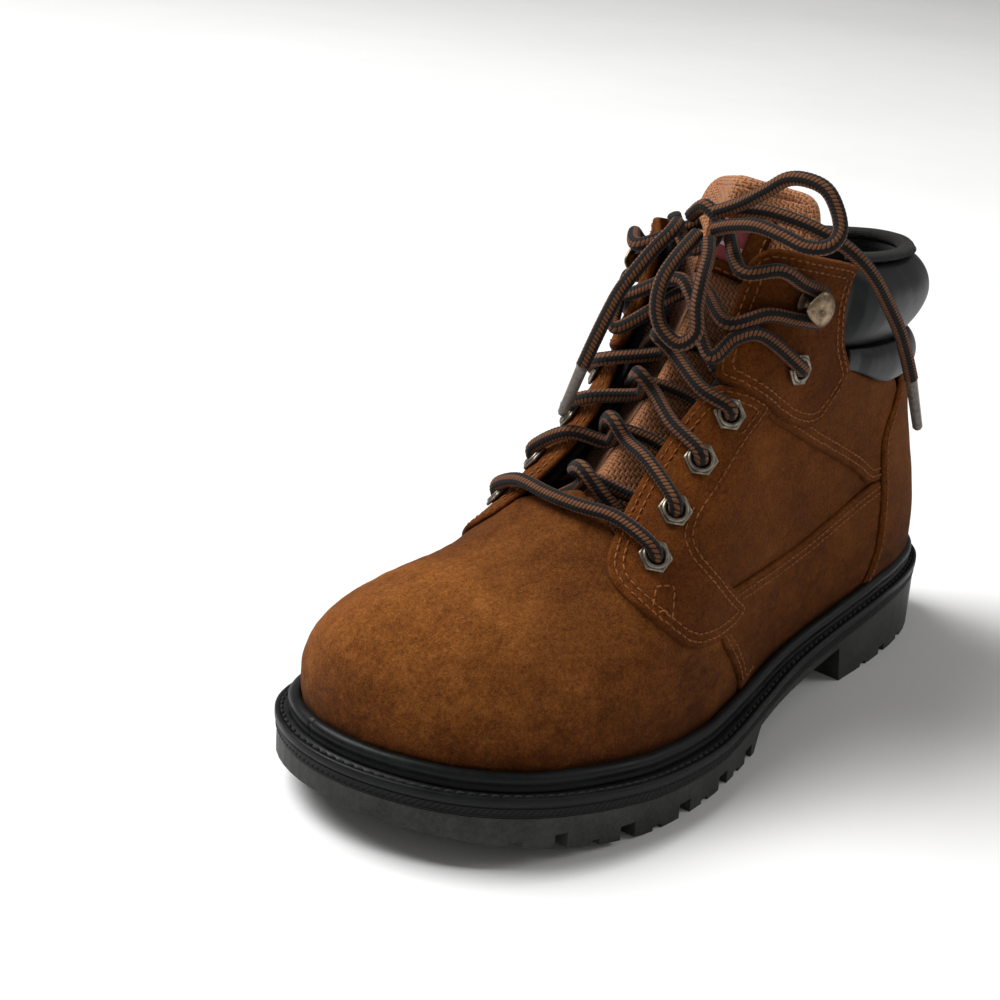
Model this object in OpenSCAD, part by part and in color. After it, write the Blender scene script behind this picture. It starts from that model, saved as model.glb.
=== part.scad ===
// Lace-up steel toe work boot, left foot. Units: millimetres.
// +X points to the toe, +Y to the outer (lateral) side, +Z up, ground at z = 0.
// The upper is one doubly curved surface S(u, v): u runs round the boot from the heel back
// (0) along the outer side to the toe tip (13) and back along the inner side (26); v runs
// from the welt (0) to the collar or to the ridge over the instep (1). Every leather panel
// is a patch of that surface, raised by the level it is sewn at.

/* [Sole] */
// Height of the ribbed band under the welt edge, with the welt
band_h = 7; // [5:0.5:10]
// Thickness of the welt strip
welt_t = 3.2; // [2:0.1:5]
// Width of the welt strip, from the sole edge inwards
welt_w = 16; // [12:1:22]
// Depth of the tread grooves
lug_d = 5; // [3:0.5:8]
// Height of the rand bead over the welt
rand_h = 6; // [4:0.5:8]
// Thickness of the removable footbed
footbed_t = 4; // [3:0.5:7]

/* [Upper] */
// Thickness of the suede
suede_t = 1.4; // [1:0.1:2.2]
// Gap left between two sewn layers
gap = 0.3; // [0.15:0.05:0.5]
// Thickness of the steel toe cap
steel_t = 1.5; // [1.2:0.1:2.5]
// Bulge of the upper collar roll
roll_up = 8; // [4:0.5:12]
// Bulge of the lower collar roll
roll_low = 5; // [3:0.5:8]

/* [Lacing] */
// Diameter of the lace
lace_d = 4.8; // [3:0.2:6]
// Width across the flats of the eyelet flange
eyelet_w = 11.5; // [9:0.5:14]
// Inner diameter of the eyelet barrel
eyelet_bore = 6.2; // [5:0.2:8]
// Outer diameter of the eyelet barrel
eyelet_tube = 7.4; // [6:0.2:9]

/* [Motion] */
// Half width of the tongue
tongue_w = 24; // [18:1:28]
// Thickness of the padded tongue
tongue_t = 8; // [5:0.5:10]

/* [Hidden] */
$fn = 48;
N2 = 26;

// Half columns, heel back to toe tip: sole edge x, y; handle out, up; handle B; top edge T.
COL = [
    [-154, 0, 5, 28, [-125, 0, 101], [-126, 0, 157]],
    [-150, 16, 5, 28, [-122, 8, 101], [-124, 8.5, 157]],
    [-133, 28, 4, 29, [-111, 16.5, 102], [-114, 18, 157]],
    [-100, 35.5, 3, 29, [-89, 23.5, 104], [-92, 26, 159]],
    [-62, 37.5, 2, 30, [-63, 26.5, 108], [-62, 31, 163]],
    [-25, 42, 1, 32, [-36, 27, 113], [-33, 33, 168]],
    [8, 52, 0, 33, [-10, 26, 120], [-14, 28, 173]],
    [38, 60, -1, 34, [0, 25, 128], [-6, 17, 175]],
    [66, 63, 0, 33, [19, 25, 114], [1, 0, 135]],
    [94, 61, 1, 30, [62, 27, 77], [39, 0, 98]],
    [120, 54, 4, 29, [91, 33, 74], [62, 0, 85]],
    [140, 40, 7, 30, [121, 29, 74], [84, 0, 80]],
    [151, 18, 8, 32, [136, 14, 75], [105, 0, 77]],
    [153.5, 0, 8, 34, [138, 0, 76], [120, 0, 76]]
];
// How much narrower the inner half of the sole is, by column.
INNER = [0, 0, 0, 1, 2, 4, 6, 5, 3, 1, 0, 0, 0, 0];
// Height of the welt's top edge along the boot.
WELT_Z = [[-160, 29.4], [-100, 27.5], [-50, 22.6], [-10, 18.6], [30, 17], [70, 19],
    [110, 23], [160, 28.9]];
bend = 10.6;

function lerp(a, b, t) = a + (b - a) * t;
function welt_z(x) = lookup(x, WELT_Z);
function unit(v) = v / max(norm(v), 1e-9);
function spl(P, u) = let(n = len(P), k = floor(u), t = u - k, i = (k % n + n) % n, s = 1 - t)
    (s * s * s * P[(i + n - 1) % n] + (3 * t * t * t - 6 * t * t + 4) * P[i]
    + (-3 * t * t * t + 3 * t * t + 3 * t + 1) * P[(i + 1) % n]
    + t * t * t * P[(i + 2) % n]) / 6;
function both(k) = k <= 13 ? k : N2 - k;
EDGE = [for (k = [0 : N2 - 1]) let(c = COL[both(k)])
    k <= 13 ? [c[0], c[1], 0] : [c[0], -c[1] + INNER[both(k)], 0]];
OUT = [for (k = [0 : N2 - 1])
    let(t = unit(EDGE[(k + 1) % N2] - EDGE[(k + N2 - 1) % N2])) [-t[1], t[0], 0]];
ROW_F = [for (k = [0 : N2 - 1]) let(e = EDGE[k] - OUT[k] * lookup(EDGE[k][0],
    [[-60, 7], [20, 9]])) [e[0], e[1], welt_z(e[0]) + 1]];
ROW_A = [for (k = [0 : N2 - 1]) let(c = COL[both(k)]) ROW_F[k] + OUT[k] * c[2] + [0, 0, c[3]]];
function flip(p, k) = k <= 13 ? p : [p[0], -p[1], p[2]];
ROW_B = [for (k = [0 : N2 - 1]) flip(COL[both(k)][4], k)];
ROW_T = [for (k = [0 : N2 - 1]) flip(COL[both(k)][5], k)];
function bow(p) = let(q = min(max((p[0] - 10) / 140, 0), 1.3)) [p[0], p[1] - bend * q * q, p[2]];
function S(u, v) = let(s = 1 - v) bow(s * s * s * spl(ROW_F, u) + 3 * v * s * s * spl(ROW_A, u)
    + 3 * v * v * s * spl(ROW_B, u) + v * v * v * spl(ROW_T, u));
function SN(u, v) = let(a = S(u + 0.02, v) - S(u - 0.02, v),
    b = S(u, min(v + 0.01, 1)) - S(u, v - 0.01)) -unit(cross(a, b));
function SO(u, v, h) = S(u, v) + SN(u, v) * h;
// Sole edge moved inwards by r, as a flat outline.
function edge(u, r) = let(p = spl(EDGE, u), t = unit(spl(EDGE, u + 0.01) - spl(EDGE, u - 0.01)),
    q = bow(p - [-t[1], t[0], 0] * r)) [q[0], q[1]];

// ---- layers: [inner, outer] distance from S
base = [-1.4 - suede_t + 1, 0];
under = [base[0] - gap - suede_t, base[0] - gap];
over = [gap, gap + suede_t];
top = [over[1] + gap, over[1] + gap + suede_t];
steel = [base[0] - gap - steel_t, base[0] - gap];
inner = [-5.2, -4];

// A shell over a grid of points, between the distances lo and hi (numbers or grids).
function off(o, i, j) = is_num(o) ? o : o[i][j];
function gn(G, i, j, sg) = let(a = len(G) - 1, b = len(G[0]) - 1,
    du = G[min(i + 1, a)][j] - G[max(i - 1, 0)][j],
    dv = G[i][min(j + 1, b)] - G[i][max(j - 1, 0)]) unit(cross(du, dv)) * sg;
module shell(G, lo, hi, sg = -1) {
    a = len(G);
    b = len(G[0]);
    NN = [for (i = [0 : a - 1]) [for (j = [0 : b - 1]) gn(G, i, j, sg)]];
    P = concat([for (i = [0 : a - 1]) for (j = [0 : b - 1]) G[i][j] + NN[i][j] * off(hi, i, j)],
        [for (i = [0 : a - 1]) for (j = [0 : b - 1]) G[i][j] + NN[i][j] * off(lo, i, j)]);
    m = a * b;
    F = concat(
        [for (i = [0 : a - 2]) for (j = [0 : b - 2]) [i * b + j, i * b + j + 1, i * b + j + b]],
        [for (i = [0 : a - 2]) for (j = [0 : b - 2])
            [i * b + j + 1, i * b + j + b + 1, i * b + j + b]],
        [for (i = [0 : a - 2]) for (j = [0 : b - 2])
            [m + i * b + j, m + i * b + j + b, m + i * b + j + 1]],
        [for (i = [0 : a - 2]) for (j = [0 : b - 2])
            [m + i * b + j + 1, m + i * b + j + b, m + i * b + j + b + 1]],
        [for (i = [0 : a - 2]) each wall(i * b, (i + 1) * b, m)],
        [for (i = [0 : a - 2]) each wall((i + 1) * b + b - 1, i * b + b - 1, m)],
        [for (j = [0 : b - 2]) each wall(j + 1, j, m)],
        [for (j = [0 : b - 2]) each wall((a - 1) * b + j, (a - 1) * b + j + 1, m)]);
    polyhedron(P, sg < 0 ? [for (f = F) [f[0], f[2], f[1]]] : F);
}
function wall(p, q, m) = [[p, q, m + p], [q, m + q, m + p]];

// Patch between two lists of [u, v] stations, k steps a station and m across.
function patch(L, R, k, m) = [for (i = [0 : len(L) - 2]) for (s = [0 : (i == len(L) - 2 ? k : k - 1)])
    let(a = lerp(L[i], L[i + 1], s / k), b = lerp(R[i], R[i + 1], s / k))
    [for (j = [0 : m]) lerp(a, b, j / m)]];
function on(G, side) = [for (r = G) [for (c = r) side > 0 ? S(c[0], c[1]) : S(N2 - c[0], c[1])]];
// A strip over the toe, from a line at the back to the toe tip: both halves meet there.
function over_toe(back, v0, a, b) = [for (i = [0 : a]) [for (j = [-b : b])
    let(v = lerp(v0, 1, 1 - abs(j) / b), u = lerp(lookup(v, back), 13, i / a))
    j <= 0 ? S(u, v) : S(N2 - u, v)]];
// The same shell, closed along the last row, where both halves meet.
module toe_shell(G, lo, hi) {
    a = len(G);
    b = len(G[0]);
    h = (b - 1) / 2;
    NN = [for (i = [0 : a - 1]) [for (j = [0 : b - 1]) i < a - 1 ? gn(G, i, j, -1)
        : toe_n(G, a - 1, min(j, b - 1 - j), h)]];
    P = concat([for (i = [0 : a - 1]) for (j = [0 : b - 1]) G[i][j] + NN[i][j] * hi],
        [for (i = [0 : a - 1]) for (j = [0 : b - 1]) G[i][j] + NN[i][j] * lo]);
    m = a * b;
    F = concat(
        [for (i = [0 : a - 2]) for (j = [0 : b - 2]) each quad(i, j, a, b, 0)],
        [for (i = [0 : a - 2]) for (j = [0 : b - 2]) each quad(i, j, a, b, m)],
        [for (i = [0 : a - 2]) each wall(ti(i, 0, a, b), ti(i + 1, 0, a, b), m)],
        [for (i = [0 : a - 2]) each wall(ti(i + 1, b - 1, a, b), ti(i, b - 1, a, b), m)],
        [for (j = [0 : b - 2]) each wall(j + 1, j, m)]);
    polyhedron(P, [for (f = F) if (f[0] != f[1] && f[1] != f[2] && f[0] != f[2])
        [f[0], f[2], f[1]]]);
}
function ti(i, j, a, b) = i < a - 1 ? i * b + j : i * b + min(j, b - 1 - j);
function toe_n(G, i, j, h) = j == h ? unit(gn(G, i - 1, h, -1)) :
    let(n = gn(G, i, j, -1), k = gn(G, i, 2 * h - j, -1)) unit(n + k);
function quad(i, j, a, b, m) = let(p = ti(i, j, a, b), q = ti(i, j + 1, a, b),
    r = ti(i + 1, j, a, b), s = ti(i + 1, j + 1, a, b))
    m == 0 ? [[p, q, r], [q, s, r]] : [[m + p, m + r, m + q], [m + q, m + r, m + s]];

// ---- sole pieces: a side profile cut by the outline
module outline(r, n = 90) {
    polygon([for (k = [0 : n - 1]) edge(k * N2 / n, r)]);
}
XS = [for (x = [-160 : 10 : 160]) x];
module band(lo, hi, r) {
    intersection() {
        rotate([90, 0, 0])
            linear_extrude(200, center = true)
                polygon(concat([for (x = XS) [x, welt_z(x) + lo]],
                    [for (i = [len(XS) - 1 : -1 : 0]) [XS[i], welt_z(XS[i]) + hi]]));
        linear_extrude(80)
            outline(r);
    }
}
// Tread: toe spring, ball, waist, heel; each groove is [x, width, depth].
GROOVES = [[108, 4, lug_d], [84, 6, lug_d], [57, 6, lug_d], [32, 6, lug_d], [10, 6, lug_d],
    [97, 4, 1.5], [71, 4, 1.5], [45, 4, 1.5], [21, 4, 1.5], [121, 4, 1.5],
    [-104, 5, 3], [-122, 4, 1.5], [-88, 4, 1.5]];
module outsole() {
    difference() {
        intersection() {
            rotate([90, 0, 0])
                linear_extrude(200, center = true)
                    polygon(concat([for (x = XS) [x, welt_z(x) - band_h - 0.05]],
                        [[160, 15.5], [152, 14], [130, 9.3], [110, 5], [90, 2], [70, 0],
                        [3, 0], [-2, 8.5], [-10, 9.2], [-40, 11.5], [-66, 14.6], [-69, 0],
                        [-146, 0], [-156, 3], [-160, 3]]));
            linear_extrude(40)
                outline(0.6);
        }
        for (g = GROOVES)
            for (s = [-1, 1])
                translate([g[0], s * 40, 0])
                    rotate([0, 0, s * 6])
                        cube([g[1], 56, 2 * (g[2] + tread_z(g[0]))], center = true);
        translate([30, 0, 0])
            cube([190, 5, 2 * lug_d], center = true);
    }
}
function tread_z(x) = lookup(x, [[70, 0], [90, 2], [110, 5], [130, 9.3]]);
module outsole_node() {
    color([0.07, 0.075, 0.08])
        outsole();
}
module midsole() {
    color([0.09, 0.095, 0.1])
        band(-band_h, -welt_t - 0.05, 0);
}
module welt() {
    color([0.08, 0.085, 0.09])
        difference() {
            band(-welt_t, 0, 0);
            linear_extrude(80)
                outline(welt_w);
        }
}
// The rand: a bead round the foot of the upper, standing on the welt.
RAND = [[0.5, 0], [0, 2], [0.3, 4.2], [1.6, 5.6], [3.2, 6], [4, 4.4], [4.2, 2], [4.2, 0]];
module rand() {
    n = 90;
    m = len(RAND);
    P = [for (k = [0 : n - 1]) for (c = RAND)
        let(u = k * N2 / n, x = edge(u, 0)[0], r = lookup(x, [[-60, 2.6], [20, 4.6], [90, 4.6], [120, 4]]),
            e = edge(u, r + c[0])) [e[0], e[1], welt_z(e[0]) + 0.05 + c[1] * rand_h / 6]];
    color([0.06, 0.065, 0.07])
        polyhedron(P, [for (k = [0 : n - 1]) for (j = [0 : m - 1])
            let(a = k * m + j, b = k * m + (j + 1) % m, c = ((k + 1) % n) * m + j,
                d = ((k + 1) % n) * m + (j + 1) % m) each [[a, c, b], [b, c, d]]]);
}
module insole_board() {
    color([0.62, 0.5, 0.36])
        band(0.3, 2.2, 17);
}
module shank() {
    color([0.55, 0.56, 0.58])
        intersection() {
            band(-2.6, -1.4, 17);
            translate([-45, 0, 20])
                cube([110, 16, 60], center = true);
        }
}
module sole_filler() {
    color([0.72, 0.55, 0.36])
        difference() {
            band(-welt_t + 0.05, 0.2, welt_w + 0.3);
            translate([-45, 0, 20])
                cube([112, 17, 60], center = true);
        }
}
module footbed() {
    color([0.16, 0.16, 0.17])
        band(2.5, 2.5 + footbed_t, 18);
}

// ---- toe and vamp
VAMP_BACK = [[0, 5.75], [0.08, 5.8], [0.18, 6.1], [0.23, 6.45], [0.29, 7.3], [0.38, 7.8],
    [0.49, 8.25], [0.6, 8.6], [0.7, 8.85], [0.85, 9.15], [1, 9.4]];
CAP_BACK = [[0, 10.2], [0.5, 10.1], [1, 10.4]];
CAP_EDGE = [[0, 10.05], [0.5, 9.95], [1, 10.25]];
module toe_cap() {
    color([0.6, 0.61, 0.63])
        toe_shell(over_toe(CAP_BACK, 0.02, 8, 10), steel[0], steel[1]);
}
module toe_cap_edge() {
    color([0.12, 0.12, 0.12])
        shell([for (f = [0 : 0.5 : 1]) [for (j = [-12 : 12])
            let(v = lerp(0.02, 1, 1 - abs(j) / 12),
                u = lerp(lookup(v, CAP_EDGE) - 0.25, lookup(v, CAP_EDGE), f))
            j <= 0 ? S(u, v) : S(N2 - u, v)]], steel[0], steel[1]);
}
module vamp() {
    color([0.63, 0.4, 0.2])
        toe_shell(over_toe(VAMP_BACK, 0, 18, 12), base[0], base[1]);
}
module vamp_lining() {
    color([0.7, 0.62, 0.5])
        toe_shell(over_toe(VAMP_BACK, 0, 14, 10), inner[0], inner[1]);
}

// ---- quarters: each panel is two edges, bottom to top or back to front
SIDE_L = [[3.15, 0.37], [3.8, 0.33], [4.5, 0.29], [5.5, 0.26], [6.2, 0.24], [6.9, 0.28],
    [7.8, 0.45]];
SIDE_R = [[3.15, 0.46], [3.8, 0.55], [4.5, 0.62], [5.3, 0.69], [6, 0.7], [6.8, 0.64],
    [7.8, 0.56]];
module side_panel(side) {
    color([0.5, 0.3, 0.15])
        shell(on(patch(SIDE_L, SIDE_R, 2, 6), side), under[0], under[1], -side);
}
FOX_L = [[2.6, 0], [3.3, 0], [3.8, 0], [4.4, 0], [5, 0], [5.55, 0]];
FOX_R = [[2.6, 0.405], [3.3, 0.4], [3.8, 0.38], [4.4, 0.35], [5.2, 0.33], [6.3, 0.3]];
module foxing(side) {
    color([0.58, 0.35, 0.17])
        shell(on(patch(FOX_L, FOX_R, 3, 6), side), base[0], base[1], -side);
}
BAND_L = [[2.6, 0.415], [3.2, 0.42], [3.4, 0.46], [3.8, 0.51], [4.3, 0.56], [5, 0.62],
    [5.7, 0.66], [6.1, 0.69]];
BAND_R = [[2.6, 0.69], [3.1, 0.7], [3.5, 0.715], [3.9, 0.74], [4.3, 0.76], [5, 0.78],
    [5.7, 0.76], [6.1, 0.74]];
module quarter_band(side) {
    color([0.57, 0.34, 0.16])
        difference() {
            shell(on(patch(BAND_L, BAND_R, 2, 6), side), base[0], base[1], -side);
            holes(side);
        }
}
STAY_L = [[7.3, 0.253], [7.71, 0.291], [8.23, 0.378], [8.66, 0.489], [8.98, 0.606],
    [9, 0.7], [8.82, 0.763], [8.51, 0.8], [8.16, 0.806], [7.71, 0.794], [7.4, 0.785]];
STAY_R = [[5.92, 0.271], [6.3, 0.32], [6.77, 0.374], [7.38, 0.447], [7.6, 0.492],
    [7.57, 0.518], [7.34, 0.538], [6.99, 0.565], [6.58, 0.61], [6.2, 0.647], [5.8, 0.692]];
EYELETS = [[8.35, 0.548], [8.08, 0.606], [7.67, 0.652], [7.12, 0.689], [5.52, 0.765]];
HOOK = [5.55, 0.9];
module frame_at(e, side, h) {
    u = side > 0 ? e[0] : N2 - e[0];
    n = SN(u, e[1]);
    x = unit(cross(unit(S(u, e[1] + 0.02) - S(u, e[1] - 0.02)), n));
    y = cross(n, x);
    p = S(u, e[1]) + n * h;
    multmatrix([[x[0], y[0], n[0], p[0]], [x[1], y[1], n[1], p[1]], [x[2], y[2], n[2], p[2]],
        [0, 0, 0, 1]])
        children();
}
module holes(side) {
    for (e = EYELETS)
        frame_at(e, side, 0)
            cylinder(h = 30, d = eyelet_tube + 0.2, center = true, $fn = 16);
}
module eyestay(side) {
    color([0.55, 0.31, 0.14])
        difference() {
            shell(on(patch(STAY_L, STAY_R, 2, 6), side), over[0], over[1], -side);
            holes(side);
        }
}
TAB_L = [[5.9, 0.68], [6.3, 0.69], [7, 0.735], [7.42, 0.79], [7.35, 0.83], [7.15, 0.88],
    [6.95, 0.94], [6.7, 1]];
TAB_R = [[4.95, 0.636], [4.7, 0.65], [4.33, 0.71], [4.18, 0.75], [4.5, 0.83], [4.6, 0.89],
    [4.57, 0.95], [4.35, 1]];
module collar_tab(side) {
    color([0.42, 0.22, 0.1])
        difference() {
            shell(on(patch(TAB_L, TAB_R, 3, 10), side), top[0], top[1], -side);
            holes(side);
            frame_at(HOOK, side, 0)
                cylinder(h = 30, d = 4.2, center = true, $fn = 16);
        }
}
HEEL_U = [[0, 3.42], [0.075, 3.2], [0.13, 3.09], [0.2, 3.02], [0.33, 2.97], [0.54, 3.02],
    [0.58, 2.9], [0.62, 2.55], [0.69, 2.3]];
module heel_cover() {
    color([0.6, 0.37, 0.18])
        shell([for (i = [-8 : 8]) [for (j = [0 : 11]) let(v = lerp(0.07, 0.69, j / 11))
            S(lookup(v, HEEL_U) * i / 8, v)]], over[0], over[1]);
}
module heel_counter() {
    color([0.3, 0.3, 0.32])
        shell([for (i = [-9 : 9]) [for (j = [0 : 6]) let(v = 0.01 + 0.34 * j / 6)
            S(lookup(v, [[0, 4.4], [0.25, 3.6], [0.36, 2.8]]) * i / 9, v)]],
            steel[0] + 0.15, steel[1] - 0.2);
}
LINING_U = [[0, 5.65], [0.08, 5.7], [0.18, 6], [0.23, 6.35], [0.29, 7.2], [0.38, 7.7],
    [0.49, 8.15], [0.6, 8.5], [0.7, 8.65], [0.75, 8.55], [0.78, 8.2], [0.8, 7.6], [0.83, 7.3],
    [0.88, 7.1], [0.94, 6.9], [0.985, 6.75]];
module quarter_lining() {
    color([0.13, 0.13, 0.14])
        difference() {
            shell([for (i = [-17 : 17]) [for (j = [0 : 15]) let(v = 0.985 * j / 15)
                S(lookup(v, LINING_U) * i / 17, v)]], inner[0], inner[1]);
            holes(1);
            holes(-1);
        }
}

// ---- collar: two rolls and a binding
// Stations round the collar, and how full the roll is there: it thins to pass under the tabs.
ROLL_U = [0, 0.5, 1, 1.5, 2, 2.5, 3, 3.4, 3.75, 4, 4.2, 4.4, 4.7];
FULL = [[0, 1], [3.4, 0.98], [3.75, 0.95], [4, 0.86], [4.2, 0.7], [4.4, 0.4], [4.7, 0.28]];
function round_u(k, i) = (i < 0 ? -1 : 1) * ROLL_U[abs(i)] * k;
function roll(v0, v1, k, n) = [for (i = [-12 : 12]) [for (j = [0 : n])
    S(round_u(k, i), lerp(v0, v1, j / n))]];
function puff(h, lo, n) = [for (i = [-12 : 12]) [for (j = [0 : n])
    lo + (h - lo) * pow(sin(180 * (j + 0.25) / (n + 0.5)), 0.6) * lookup(ROLL_U[abs(i)], FULL)]];
module collar_pad_upper() {
    color([0.1, 0.1, 0.11])
        shell(roll(0.805, 0.985, 1, 9), -3.7, puff(roll_up, -3, 9));
}
module collar_pad_lower() {
    color([0.1, 0.1, 0.11])
        shell(roll(0.7, 0.8, 0.9, 6), 0.35, puff(roll_low, 0.6, 6));
}
RIM = [[-5.3, -1], [-5.9, 1], [-5, 3.4], [-3, 4.4], [-1, 4.6], [0.4, 3.6], [0.9, 1.6], [0.6, 0.6]];
module collar_binding() {
    n = 36;
    m = len(RIM);
    P = [for (k = [0 : n]) for (c = RIM) let(u = lerp(-4.32, 4.32, k / n), v = 0.992)
        SO(u, v, c[0]) + [0, 0, c[1]]];
    color([0.12, 0.12, 0.12])
        polyhedron(P, concat(
            [for (k = [0 : n - 1]) for (j = [0 : m - 1]) let(a = k * m + j,
                b = k * m + (j + 1) % m, c = a + m, d = b + m) each [[a, b, c], [b, d, c]]],
            [[for (j = [m - 1 : -1 : 0]) j]], [[for (j = [0 : m - 1]) n * m + j]]));
}

// ---- tongue: a padded strip along its own centre line
TC = [[74, 72], [62, 77], [52, 83], [42, 92.5], [30, 104.5], [17, 118], [7, 131], [-1, 146],
    [-9, 162], [-16, 176], [-20, 188]];
function crom(P, s) = let(n = len(P) - 1, k = min(floor(s), n - 1), t = s - k, a = P[max(k - 1, 0)],
    b = P[k], c = P[k + 1], d = P[min(k + 2, n)])
    0.5 * (2 * b + (c - a) * t + (2 * a - 5 * b + 4 * c - d) * t * t
    + (3 * b - a - 3 * c + d) * t * t * t);
TONGUE_SHAPE = [[0, 0.85], [2, 0.92], [4, 0.86], [6, 0.72], [7.2, 0.72], [8.5, 0.88], [9.3, 0.94],
    [10, 0.8]];
function tongue_dir(s) = unit(crom(TC, min(s + 0.05, 10)) - crom(TC, max(s - 0.05, 0)));
// Point of the tongue: s along it (0..10), q across it (-1..1), h above its face.
function TG(s, q, h) = let(c = crom(TC, s), d = tongue_dir(s),
    w = tongue_w * lookup(s, TONGUE_SHAPE),
    k = h - 18 * q * q / (0.25 + q * q)) [c[0] + d[1] * k, w * q, c[1] - d[0] * k];
module tongue_layer(lo, hi, s0, s1, q1, a, b) {
    shell([for (i = [0 : a]) [for (j = [-b : b]) TG(lerp(s0, s1, i / a), q1 * j / b, 0)]], lo, hi);
}
module tongue_face() {
    color([0.66, 0.42, 0.32])
        tongue_layer(-1, 0, 0, 10, 1, 18, 6);
}
module tongue_foam() {
    color([0.8, 0.78, 0.7])
        tongue_layer(-tongue_t + 1.2, -1.2, 0.3, 9.9, 0.96, 16, 6);
}
module tongue_lining() {
    color([0.14, 0.14, 0.15])
        tongue_layer(-tongue_t, -tongue_t + 1, 0, 10, 1, 18, 6);
}
module tongue_patch() {
    color([0.5, 0.3, 0.18])
        tongue_layer(0.15, 1.15, 7.9, 9.4, 0.6, 6, 5);
}
module tongue_label() {
    color([0.75, 0.3, 0.25])
        tongue_layer(1.3, 1.8, 8.2, 9.1, 0.36, 4, 3);
}

// ---- hardware
module eyelet() {
    difference() {
        union() {
            cylinder(h = 1.3, d = eyelet_w / cos(30), $fn = 6);
            translate([0, 0, 1.25])
                cylinder(h = 0.7, d1 = eyelet_w - 1, d2 = eyelet_tube + 1.2, $fn = 32);
            translate([0, 0, -7.4])
                cylinder(h = 7.5, d = eyelet_tube, $fn = 32);
            translate([0, 0, -8.2])
                cylinder(h = 0.8, d = eyelet_tube + 2.6, $fn = 32);
        }
        translate([0, 0, -10])
            cylinder(h = 14, d = eyelet_bore, $fn = 32);
    }
}
module eyelets(side) {
    color([0.62, 0.6, 0.54])
        for (i = [0 : 4])
            frame_at(EYELETS[i], side, i < 4 ? over[1] + 0.25 : top[1] + 0.25)
                if (i < 4) {
                    eyelet();
                } else {
                    eyelet_long();
                }
}
module eyelet_long() {
    difference() {
        union() {
            cylinder(h = 1.3, d = eyelet_w / cos(30), $fn = 6);
            translate([0, 0, 1.25])
                cylinder(h = 0.7, d1 = eyelet_w - 1, d2 = eyelet_tube + 1.2, $fn = 32);
            translate([0, 0, -9.1])
                cylinder(h = 9.2, d = eyelet_tube, $fn = 32);
            translate([0, 0, -9.9])
                cylinder(h = 0.8, d = eyelet_tube + 2.6, $fn = 32);
        }
        translate([0, 0, -11])
            cylinder(h = 15, d = eyelet_bore, $fn = 32);
    }
}
// Speed hook: base plate, neck and a cupped lip bent forward over the lace.
module hook(side) {
    frame_at(HOOK, side, top[1] + 0.25) {
        cylinder(h = 1, d = 10, $fn = 32);
        translate([0, 0, 0.9])
            cylinder(h = 6.6, d = 3, $fn = 24);
        translate([side * -1, 0, 7.4])
            cylinder(h = 1.2, d = 12, $fn = 36);
        translate([0, 0, -8.5])
            cylinder(h = 8.6, d = 3.8, $fn = 24);
        translate([0, 0, -9])
            cylinder(h = 0.6, d = 7, $fn = 24);
    }
}
module hooks(side) {
    color([0.56, 0.5, 0.4])
        hook(side);
}

// ---- laces: a round cord swept along a route
function dirs(R) = let(n = len(R) - 1) [for (i = [0 : n]) unit(R[min(i + 1, n)] - R[max(i - 1, 0)])];
function carry(D, i, f) = i >= len(D) ? [] : let(g = unit(f - D[i] * (f * D[i])))
    concat([g], carry(D, i + 1, g));
module cord(R, d) {
    D = dirs(R);
    A = carry(D, 0, abs(D[0][2]) < 0.9 ? [0, 0, 1] : [1, 0, 0]);
    n = len(R);
    P = [for (i = [0 : n - 1]) for (k = [0 : 7]) R[i] + (A[i] * cos(45 * k)
        + cross(D[i], A[i]) * sin(45 * k)) * d / 2];
    polyhedron(P, concat(
        [for (i = [0 : n - 2]) for (k = [0 : 7]) let(a = i * 8 + k, b = i * 8 + (k + 1) % 8)
            each [[a, a + 8, b], [b, a + 8, b + 8]]],
        [[for (k = [0 : 7]) k]], [[for (k = [7 : -1 : 0]) (n - 1) * 8 + k]]));
}
function smooth(R, k) = [for (i = [0 : len(R) - 2]) for (s = [0 : (i == len(R) - 2 ? k : k - 1)])
    crom(R, i + s / k)];
function at(u, v, h, side) = side > 0 ? SO(u, v, h) : SO(N2 - u, v, h);
// Where two strands cross over the tongue, and where each eyelet's strand passes over the edge
// of the leather and under it.
CROSS = [3.1, 4.25, 5.3, 6.3, 7.4];
IN_OVER = [[8.9, 0.752], [8.45, 0.795], [8.1, 0.8], [7.64, 0.79], [6.6, 0.82]];
IN_UNDER = [[8.8, 0.765], [8.56, 0.778], [8.2, 0.78], [7.7, 0.778], [6.6, 0.8]];
function between(a, b, t, h, sd) = at(lerp(a[0], b[0], t), lerp(a[1], b[1], t), h, sd);
// From the bar over the throat into the lowest eyelet, from outside.
function bar(start) = let(e = EYELETS[0], o = IN_OVER[0], w = IN_UNDER[0]) [
    TG(2.2, 0.3 * start, 15.4),
    between(o, e, 0, 5.4, start),
    between(o, e, 0.75, 5.4, start),
    between(o, e, 1, 3, start),
    between(o, e, 1, -3, start),
    between(e, w, 0.12, -9.3, start),
    between(e, w, 1, -8.9, start)];
// Across the tongue, under the leather and up out of eyelet k, then over the edge again.
function rung(k, sd) = let(e = EYELETS[k], o = IN_OVER[k], w = IN_UNDER[k], low = k < 4,
    h = sd < 0 ? 11.7 : 4.6, c = CROSS[k - 1], lift = low ? 5.1 : 6.5, deep = low ? -8.9 : -7.8) concat([
    TG(c - 0.2, -0.3 * sd, h),
    TG(c, 0, h),
    TG(c + 0.15, 0.5 * sd, 0.75 * h + 1.7)],
    low ? [] : [at(7.5, 0.83, -7, sd)], [
    between(e, w, 1, deep, sd),
    between(e, w, 0.12, deep - (low ? 0.4 : 0.2), sd),
    between(e, w, 0, -3, sd),
    between(e, w, 0, lift - 2, sd),
    between(o, e, 0.8, lift + 0.4, sd),
    between(o, e, 0, lift + 0.2, sd)]);
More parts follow.
